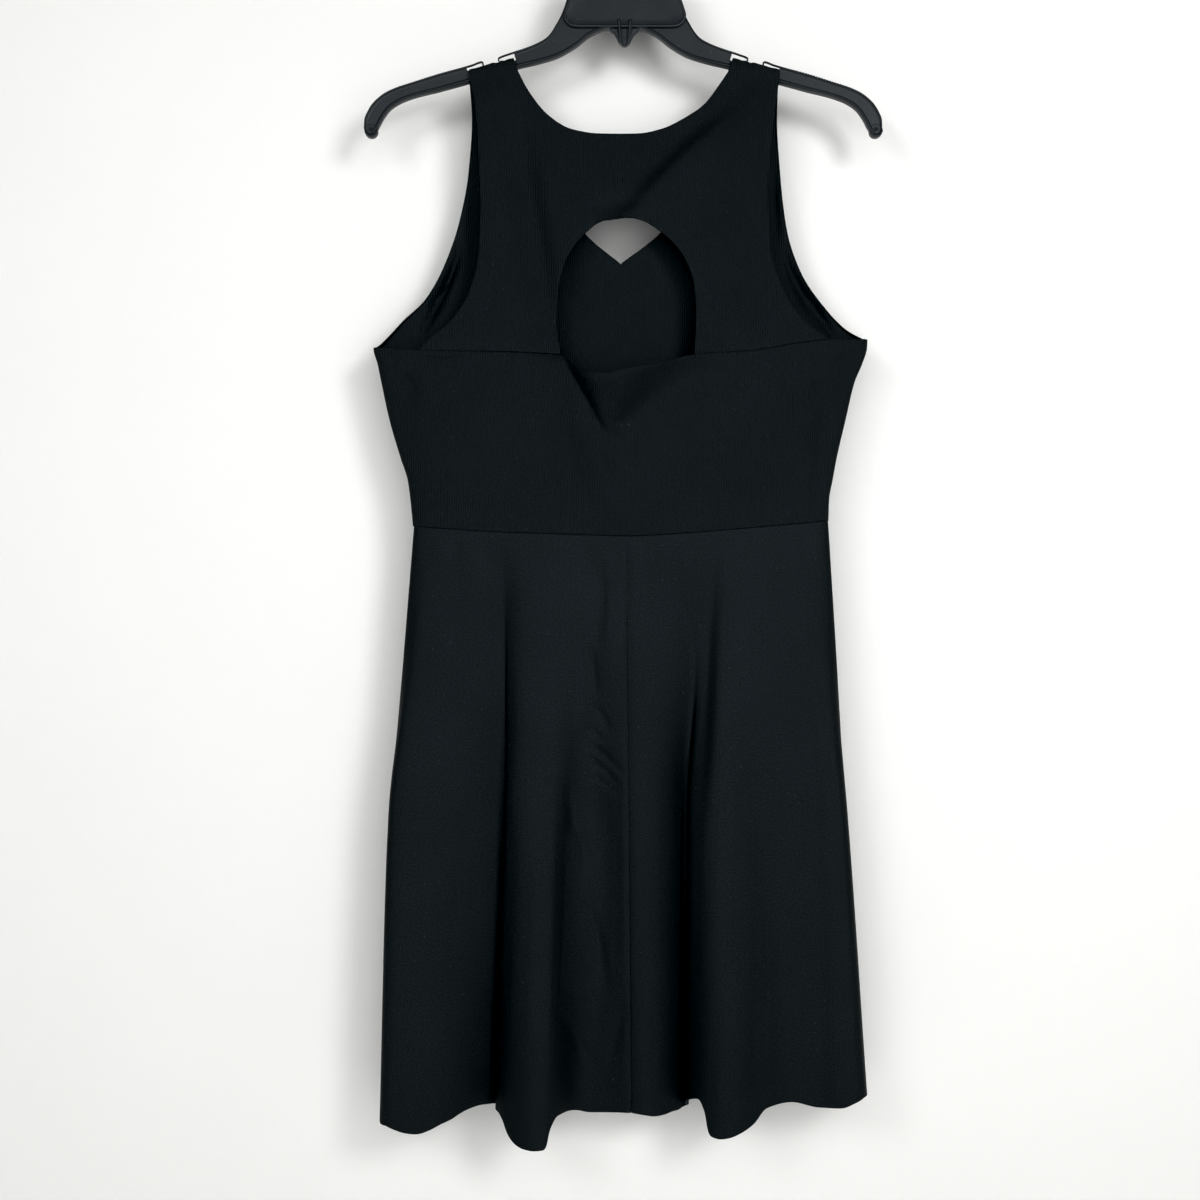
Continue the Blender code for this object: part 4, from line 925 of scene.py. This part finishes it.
def flat_sheet(name, corners, finish):
    """A flat rectangle of the stage, for the wall or the floor."""
    mesh = bpy.data.meshes.new(name)
    mesh.from_pydata(corners, [], [(0, 1, 2, 3)])
    mesh.materials.append(finish)
    made = bpy.data.objects.new(name, mesh)
    bpy.context.scene.collection.objects.link(made)
    return made


def soft_light(name, place, target_z, size, power):
    """A round lamp that looks at the middle of the dress at one height."""
    light = bpy.data.lights.new(name, "AREA")
    light.shape = "DISK"
    light.size, light.energy = size, power
    made = bpy.data.objects.new(name, light)
    made.location = place
    made.rotation_euler = (Vector((0, 0, target_z)) - Vector(place)).to_track_quat("-Z", "Y").to_euler()
    bpy.context.scene.collection.objects.link(made)


# ---- finishes


def feed(tree, sockets, values):
    """Links each socket whose value is a socket too, and sets the others."""
    for key, value in values.items():
        if isinstance(value, bpy.types.NodeSocket):
            tree.links.new(value, sockets[key])
        else:
            sockets[key].default_value = value


def node(tree, kind, inputs=None, **settings):
    """Adds a shader node with its settings and inputs."""
    made = tree.nodes.new("ShaderNode" + kind)
    for key, value in settings.items():
        setattr(made, key, value)
    feed(tree, made.inputs, inputs or {})
    return made


def reckon(tree, operation, *values):
    """The result of one Math node."""
    return node(tree, "Math", dict(enumerate(values)), operation=operation).outputs[0]


def shader_group(name, inputs, outputs):
    """An empty node group with its input and output nodes. An input without a value is a vector."""
    tree = bpy.data.node_groups.new(name, "ShaderNodeTree")
    for label, value in inputs.items():
        kind = "NodeSocketVector" if value is None else "NodeSocketFloat"
        socket = tree.interface.new_socket(label, in_out="INPUT", socket_type=kind)
        if value is not None:
            socket.default_value = value
    for label in outputs:
        tree.interface.new_socket(label, in_out="OUTPUT", socket_type="NodeSocketFloat")
    return tree, tree.nodes.new("NodeGroupInput").outputs, tree.nodes.new("NodeGroupOutput").inputs


def ribbed_knit_group():
    """Upright ribs with slanting stitches on both flanks, which wander a little, and stray fibres. Its Shade
    is painted shade in the grooves between the ribs.
    """
    sizes = {"Place": None, "Rib Width": 0.0019, "Stitch Length": 0.0014, "Stray Fibres": 0.3}
    tree, given, out = shader_group("ribbed knit", sizes, ("Height", "Shade"))
    place = node(tree, "SeparateXYZ", {0: given["Place"]})
    wander = node(tree, "TexNoise", {"Vector": given["Place"], "Scale": 70.0, "Detail": 3.0})
    run = reckon(tree, "DIVIDE", place.outputs["X"], given["Rib Width"])
    run = reckon(tree, "MULTIPLY_ADD", wander.outputs["Fac"], 0.9, run)
    flank = reckon(tree, "MULTIPLY", reckon(tree, "PINGPONG", run, 0.5), 2.0)
    groove = reckon(tree, "POWER", reckon(tree, "SUBTRACT", 1.0, flank), 2.0)
    rib = reckon(tree, "SUBTRACT", 1.0, groove)
    row = reckon(tree, "DIVIDE", place.outputs["Y"], given["Stitch Length"])
    row = reckon(tree, "MULTIPLY_ADD", flank, 0.6, row)
    stitch = reckon(tree, "SINE", reckon(tree, "MULTIPLY", row, 2 * math.pi))
    stitch = reckon(tree, "MULTIPLY", reckon(tree, "MULTIPLY_ADD", stitch, 0.5, 0.5), rib)
    fibre = {"Vector": given["Place"], "Scale": 760.0, "Detail": 2.0, "Roughness": 0.7}
    fibre = node(tree, "TexNoise", fibre).outputs["Fac"]
    stray = reckon(tree, "MULTIPLY", reckon(tree, "SUBTRACT", fibre, 0.5), given["Stray Fibres"])
    height = reckon(tree, "MULTIPLY_ADD", rib, 0.65, reckon(tree, "MULTIPLY_ADD", stitch, 0.35, stray))
    # Painted shade: the colour is darker in the grooves between the ribs than on their crests, plus the
    # stray fibres' random tone.
    shade = reckon(tree, "MULTIPLY_ADD", rib, 0.45, reckon(tree, "MULTIPLY_ADD", stray, 1.6, 0.6))
    tree.links.new(height, out["Height"])
    tree.links.new(reckon(tree, "MAXIMUM", shade, 0.15), out["Shade"])
    return tree


def handled_group():
    """What use leaves on any surface: broad, faint patches, and a few specks of lint or dust."""
    sizes = {"Place": None, "Patch Scale": 12.0, "Patchiness": 0.15, "Speck Scale": 380.0}
    tree, given, out = shader_group("handled", sizes, ("Shade", "Specks"))
    broad = node(tree, "TexNoise", {"Vector": given["Place"], "Scale": given["Patch Scale"], "Detail": 4.0})
    off = reckon(tree, "MULTIPLY", reckon(tree, "SUBTRACT", broad.outputs["Fac"], 0.5), 2.0)
    shade = reckon(tree, "MULTIPLY_ADD", off, given["Patchiness"], 1.0)
    fine = node(tree, "TexNoise", {"Vector": given["Place"], "Scale": given["Speck Scale"], "Detail": 1.0})
    specks = node(tree, "MapRange", {"Value": fine.outputs["Fac"], "From Min": 0.75, "From Max": 0.82})
    tree.links.new(shade, out["Shade"])
    tree.links.new(specks.outputs["Result"], out["Specks"])
    return tree


def new_material(name, colour):
    made = bpy.data.materials.get(name) or bpy.data.materials.new(name)
    made.use_nodes = True
    tree = made.node_tree
    tree.nodes.clear()
    made.diffuse_color = (*colour, 1.0)
    shader = node(tree, "BsdfPrincipled")
    end = node(tree, "OutputMaterial", {"Surface": shader.outputs[0]})
    return made, tree, shader.inputs, end


def group_node(tree, name, *values):
    """Places one of the shared groups, which is built the first time that it is asked for."""
    builders = {"ribbed knit": ribbed_knit_group, "handled": handled_group}
    group = bpy.data.node_groups.get(name) or builders[name]()
    return node(tree, "Group", dict(enumerate(values)), node_tree=group).outputs


def shaded(tree, colour, shade, specks, lint):
    """The colour times the shade, with specks of a lighter one."""
    deep = node(tree, "VectorMath", {0: colour, "Scale": shade}, operation="SCALE").outputs[0]
    mixed = node(tree, "Mix", {0: specks, 6: deep, 7: (*lint, 1.0)}, data_type="RGBA")
    return mixed.outputs[2]


def knit_material(name, colour, knit, relief, roughness, specular):
    """A knit whose ribs follow the cloth's own UV map, with broad patches in object coordinates. Its colour
    carries painted shade in the rib grooves.

    knit holds the width of a rib, the length of a stitch and the share of stray fibres.
    """
    made, tree, sockets, _ = new_material(name, colour)
    ribs = group_node(tree, "ribbed knit", node(tree, "UVMap", uv_map="cloth").outputs[0], *knit)
    use = group_node(tree, "handled", node(tree, "TexCoord").outputs["Object"], 14.0, 0.16, 520.0)
    # The ribs' shade is painted shade in their grooves; the patches' shade is random tone.
    shade = reckon(tree, "MULTIPLY", ribs["Shade"], use["Shade"])
    specks = reckon(tree, "MULTIPLY", use["Specks"], 0.5)
    bump = node(tree, "Bump", {"Height": ribs["Height"], "Distance": relief, "Strength": 1.0})
    feed(tree, sockets, {
        "Base Color": shaded(tree, colour, shade, specks, (0.06, 0.065, 0.07)),
        "Roughness": reckon(tree, "MULTIPLY_ADD", use["Shade"], -0.12, roughness + 0.12),
        "Normal": bump.outputs[0],
        "Specular IOR Level": specular,
        "Specular Tint": (0.75, 0.92, 1.0, 1.0),
    })
    return made


def grained_material(name, colour, patches, lint, lint_share, roughness, grain, constants):
    """A surface with a fine grain, faint patches and a few specks, all in object coordinates.

    patches holds the scale and strength of the patches and the scale of the specks. roughness is a base
    and how much the patches add. grain holds the scale, detail, depth and strength of the bumps.
    """
    made, tree, sockets, end = new_material(name, colour)
    place = node(tree, "TexCoord").outputs["Object"]
    use = group_node(tree, "handled", place, *patches)
    specks = reckon(tree, "MULTIPLY", use["Specks"], lint_share) if lint_share else 0.0
    base, slope = roughness
    scale, detail, depth, strength = grain
    bumps = node(tree, "TexNoise", {"Vector": place, "Scale": scale, "Detail": detail}).outputs["Fac"]
    bump = node(tree, "Bump", {"Height": bumps, "Distance": depth, "Strength": strength})
    feed(tree, sockets, {
        "Base Color": shaded(tree, colour, use["Shade"], specks, lint),
        "Roughness": reckon(tree, "MULTIPLY_ADD", use["Shade"], slope, base) if slope else base,
        "Normal": bump.outputs[0],
        **constants,
    })
    return made, tree, end.inputs["Surface"]


def plastic_material(name, colour):
    """Satin black plastic: a fine moulded grain, faint patches and a little dust."""
    grain = (1600.0, 2.0, 0.00006, 0.6)
    dust = (0.22, 0.22, 0.22)
    constants = {"Specular IOR Level": 0.24}
    return grained_material(name, colour, (40.0, 0.22, 700.0), dust, 0.6, (0.14, 0.25), grain, constants)[0]


def wire_material(name, colour):
    """Plated wire: fine drawing marks, and slightly duller patches."""
    grain = (2400.0, 1.0, 0.00002, 0.5)
    dust = (0.3, 0.29, 0.28)
    constants = {"Metallic": 1.0}
    return grained_material(name, colour, (90.0, 0.2, 900.0), dust, 1.0, (-0.06, 0.3), grain, constants)[0]


def plaster_material(name, colour, one_sided=False):
    """A plain, matt, pale surface with a faint grain. A one-sided one isn't seen from behind."""
    grain = (350.0, 3.0, 0.0001, 0.4)
    constants = {"Specular IOR Level": 0.2}
    patches = (3.0, 0.015, 300.0)
    made, tree, end = grained_material(name, colour, patches, colour, 0, (0.9, 0), grain, constants)
    if one_sided:
        behind = node(tree, "NewGeometry").outputs["Backfacing"]
        clear = node(tree, "BsdfTransparent").outputs[0]
        mixed = node(tree, "MixShader", {0: behind, 1: end.links[0].from_socket, 2: clear})
        tree.links.new(mixed.outputs[0], end)
    return made


def finish_named(context, name):
    """The material of a slot of the record, made the first time that it is asked for."""
    knit, hanger = context.scene.dress_cloth, context.scene.dress_hanger
    made = bpy.data.materials.get(name)
    if made and made.get("finished"):
        return made
    if name == "bodice_knit":
        ribs = (knit.bodice_rib, 0.0015, 1.50)
        made = knit_material(name, tuple(knit.bodice_colour), ribs, 0.00030, 0.62, 0.18)
    elif name == "skirt_knit":
        ribs = (knit.skirt_rib, 0.0009, 2.10)
        made = knit_material(name, tuple(knit.skirt_colour), ribs, 0.00008, 0.60, 0.17)
    elif name == "hanger_plastic":
        made = plastic_material(name, tuple(hanger.plastic_colour))
    elif name == "hook_wire":
        made = wire_material(name, tuple(hanger.wire_colour))
    else:
        raise ValueError(f"the record has no slot named {name}")
    made["finished"] = True
    return made


# ---- settings


class DressClothSettings(bpy.types.PropertyGroup):
    wall: FloatProperty(
        name="Cloth thickness", description="Thickness of the knit, folded edges included",
        default=0.0013, min=0.0008, max=0.003, unit="LENGTH",
    )
    bodice_rib: FloatProperty(
        name="Bodice rib", description="Width of one rib of the bodice", default=0.0019, unit="LENGTH"
    )
    skirt_rib: FloatProperty(
        name="Skirt rib", description="Width of one rib of the skirt", default=0.0010, unit="LENGTH"
    )
    bodice_colour: FloatVectorProperty(
        name="Bodice colour", description="Colour of the bodice's knit",
        default=(0.0065, 0.0084, 0.0093), subtype="COLOR", min=0, max=1,
    )
    skirt_colour: FloatVectorProperty(
        name="Skirt colour", description="Colour of the skirt's knit",
        default=(0.0065, 0.0084, 0.0093), subtype="COLOR", min=0, max=1,
    )


class DressHangerSettings(bpy.types.PropertyGroup):
    rim_height: FloatProperty(
        name="Rim height", description="Height of the rims along the arms", default=0.0019, unit="LENGTH"
    )
    wire_radius: FloatProperty(
        name="Wire radius", description="Half the thickness of the wire", default=0.0018, unit="LENGTH"
    )
    plastic_colour: FloatVectorProperty(
        name="Plastic colour", description="Colour of the moulded hanger",
        default=(0.0150, 0.0190, 0.0225), subtype="COLOR", min=0, max=1,
    )
    wire_colour: FloatVectorProperty(
        name="Wire colour", description="Colour of the hook's plating",
        default=(0.62, 0.62, 0.63), subtype="COLOR", min=0, max=1,
    )


class DressStageSettings(bpy.types.PropertyGroup):
    wall_y: FloatProperty(
        name="Wall", description="Where the wall behind the dress stands", default=0.052, unit="LENGTH"
    )
    floor_z: FloatProperty(name="Floor", description="Height of the floor", default=-1.25, unit="LENGTH")
    key_power: FloatProperty(
        name="Key light", description="Power of the light at the upper right", default=12.0, unit="POWER"
    )
    side_power: FloatProperty(
        name="Side light", description="Power of the light at the upper left", default=8.0, unit="POWER"
    )
    front_power: FloatProperty(
        name="Broad lights", description="Power of the broad lights in front and behind", default=46.0,
        unit="POWER",
    )
    fill_strength: FloatProperty(
        name="Fill", description="Strength of the light from all round", default=0.08, min=0
    )
    contrast_gamma: FloatProperty(
        name="Gamma", description="Gamma of the view, below 1 for the photo's deep blacks", default=0.85
    )
    black_level: FloatProperty(
        name="Black level", description="Brightness that the view shows as black", default=0.010, min=0
    )
    wall_colour: FloatVectorProperty(
        name="Wall colour", description="Colour of the wall and the floor",
        default=(0.67, 0.67, 0.66), subtype="COLOR", min=0, max=1,
    )


# ---- operators


class DRESS_OT_add_yoke(bpy.types.Operator):
    """Adds the back yoke: both straps, the scoop of the neck and the keyhole's sides"""

    bl_idname = "dress.add_yoke"
    bl_label = "Back yoke"

    def execute(self, context):
        left = yoke_half(BACK_ARMHOLE_LEFT, NECK_LEFT, KEYHOLE_LEFT, SHOULDER_LEFT)
        right = yoke_half(BACK_ARMHOLE_RIGHT, NECK_RIGHT, KEYHOLE_RIGHT, SHOULDER_RIGHT)[:, ::-1]
        cloth(context, "yoke_cloth", [left, right], [strap_places(left), strap_places(right)], True)
        return {"FINISHED"}


class DRESS_OT_add_midriff(bpy.types.Operator):
    """Adds the back panel under the yoke, with the slack under the keyhole"""

    bl_idname = "dress.add_midriff"
    bl_label = "Back panel"

    def execute(self, context):
        grid = midriff_grid()
        places = cloth_places(grid, int(np.abs(grid[0, :, 0]).argmin()))
        cloth(context, "midriff_cloth", [grid], [places], True)
        return {"FINISHED"}


class DRESS_OT_add_front(bpy.types.Operator):
    """Adds the front, from the shoulders to the waist"""

    bl_idname = "dress.add_front"
    bl_label = "Front"

    def execute(self, context):
        left = front_half(FRONT_ARMHOLE_LEFT, V_NECK_LEFT, SHOULDER_LEFT, "left", 0.0)
        right = front_half(FRONT_ARMHOLE_RIGHT, V_NECK_RIGHT, SHOULDER_RIGHT, "right", 1.0)[:, ::-1]
        cloth(context, "front_cloth", [left, right], [strap_places(left), strap_places(right)], False)
        return {"FINISHED"}


class DRESS_OT_add_skirt(bpy.types.Operator):
    """Adds the skirt: two back panels that meet at the middle, and the front one"""

    bl_idname = "dress.add_skirt"
    bl_label = "Skirt"

    def execute(self, context):
        seam = hem_share(BACK_FOLDS)[CENTRE_BACK_ROW]
        gap = CENTRE_GAP / SKIRT_WIDTH
        u = across(283)
        left = np.append(u[u < seam - 2 * gap], seam - gap)
        right = np.insert(u[u > seam + 2 * gap], 0, seam + gap)
        for name, part in (("skirt_back_left_cloth", left), ("skirt_back_right_cloth", right)):
            skirt_panel(context, name, BACK_FOLDS, -1, part, SKIRT_BACK_CREASES, 0.4)
        skirt_panel(context, "skirt_front_cloth", FRONT_FOLDS, 1, across(136), SKIRT_FRONT_CREASES, 2.6)
        return {"FINISHED"}


class DRESS_OT_add_hanger(bpy.types.Operator):
    """Adds the moulded hanger: arms, centre tile, spike, lips over the notches, tips, mark and neck"""

    bl_idname = "dress.add_hanger"
    bl_label = "Hanger"

    def execute(self, context):
        reach = ARM_DEPTH / 2 + 1.3
        tile = outline_round(TILE_OUTLINE, TILE_CENTRE[0])
        spike = outline_round(SPIKE_OUTLINE, SPIKE_CENTRE[0])
        pieces = {
            "arms": arm_loops(context.scene.dress_hanger.rim_height / MM),
            "tile": plate_loops(tile, TILE_CENTRE, reach, reach, rim=1.7, recess=0.7),
            "spike": plate_loops(spike, SPIKE_CENTRE, 2.2, 4.3),
        }
        sides = {"left": -1, "right": 1}
        for word, side in sides.items():
            pieces[f"spike_rib_{word}"] = spike_rib_loops(side)
            pieces[f"lip_inner_{word}"] = lip_loops(side, NOTCH_INNER_X, INNER_LIP_END_X)
            pieces[f"lip_outer_{word}"] = lip_loops(side, NOTCH_OUTER_X, OUTER_LIP_END_X)
        pieces["mark"] = turned_loops(MARK_PROFILE, MARK_CENTRE)
        for word, side in sides.items():
            pieces[f"tip_{word}"] = tip_loops(side)
        pieces["neck"] = turned_loops(NECK_PROFILE, upright=True)
        for name, loops in pieces.items():
            closed_loops("hanger_" + name, loops, finish_named(context, "hanger_plastic"), "hanger_body")
        return {"FINISHED"}


class DRESS_OT_add_hook(bpy.types.Operator):
    """Adds the wire hook, with its stem in the hanger's neck"""

    bl_idname = "dress.add_hook"
    bl_label = "Hook"

    def execute(self, context):
        loops = hook_loops(context.scene.dress_hanger.wire_radius / MM)
        closed_loops("hook_wire_round", loops, finish_named(context, "hook_wire"), "hanger_hook")
        return {"FINISHED"}


class DRESS_OT_set_stage(bpy.types.Operator):
    """Sets the wall, the floor, the soft lights and the camera"""

    bl_idname = "dress.set_stage"
    bl_label = "Stage"

    def execute(self, context):
        scene, settings = context.scene, context.scene.dress_stage
        y, z, colour = settings.wall_y, settings.floor_z, tuple(settings.wall_colour)
        upright = [(-4, y, -1.6), (4, y, -1.6), (4, y, 2.6), (-4, y, 2.6)]
        level = [(-4, -4, z), (4, -4, z), (4, 4, z), (-4, 4, z)]
        wall = flat_sheet("wall", upright, plaster_material("wall_plaster", colour, one_sided=True))
        wall.visible_shadow = False
        flat_sheet("floor", level, plaster_material("floor_plaster", colour))
        for name, place, target_z, size, power in LIGHTS:
            soft_light(name, place, target_z, size, getattr(settings, power))
        scene.world = scene.world or bpy.data.worlds.new("room")
        scene.world.use_nodes = True
        background = scene.world.node_tree.nodes["Background"].inputs
        background["Color"].default_value = (1.0, 1.0, 1.0, 1.0)
        background["Strength"].default_value = settings.fill_strength
        view = scene.view_settings
        view.view_transform = "Standard"
        view.gamma = settings.contrast_gamma
        view.use_curve_mapping = True
        view.curve_mapping.black_level = (settings.black_level,) * 3
        view.curve_mapping.update()
        camera = bpy.data.cameras.new("camera")
        camera.sensor_width, camera.lens = CAMERA_SENSOR, CAMERA_LENS
        made = bpy.data.objects.new("camera", camera)
        made.location = CAMERA_PLACE
        made.rotation_euler = (math.pi / 2, 0, 0)
        scene.collection.objects.link(made)
        scene.camera = made
        return {"FINISHED"}


PIECES = (
    DRESS_OT_add_yoke,
    DRESS_OT_add_midriff,
    DRESS_OT_add_front,
    DRESS_OT_add_skirt,
    DRESS_OT_add_hanger,
    DRESS_OT_add_hook,
    DRESS_OT_set_stage,
)


class DRESS_PT_pieces(bpy.types.Panel):
    """Lists the pieces of the dress and their settings"""

    bl_idname = "DRESS_PT_pieces"
    bl_label = "Dress"
    bl_space_type = "VIEW_3D"
    bl_region_type = "UI"
    bl_category = "Dress"

    def draw(self, context):
        for settings in (context.scene.dress_cloth, context.scene.dress_hanger, context.scene.dress_stage):
            box = self.layout.box()
            for name in settings.__annotations__:
                box.prop(settings, name)
        for piece in PIECES:
            self.layout.operator(piece.bl_idname)


SETTINGS = {
    "dress_cloth": DressClothSettings,
    "dress_hanger": DressHangerSettings,
    "dress_stage": DressStageSettings,
}


def register():
    for made in (*SETTINGS.values(), *PIECES, DRESS_PT_pieces):
        bpy.utils.register_class(made)
    for name, settings in SETTINGS.items():
        setattr(bpy.types.Scene, name, PointerProperty(type=settings))


def unregister():
    for name in SETTINGS:
        delattr(bpy.types.Scene, name)
    for made in (DRESS_PT_pieces, *PIECES[::-1], *list(SETTINGS.values())[::-1]):
        bpy.utils.unregister_class(made)


def main():
    register()
    bpy.ops.dress.add_yoke()
    bpy.ops.dress.add_midriff()
    bpy.ops.dress.add_front()
    bpy.ops.dress.add_skirt()
    bpy.ops.dress.add_hanger()
    bpy.ops.dress.add_hook()
    bpy.ops.dress.set_stage()


if __name__ == "__main__":
    main()
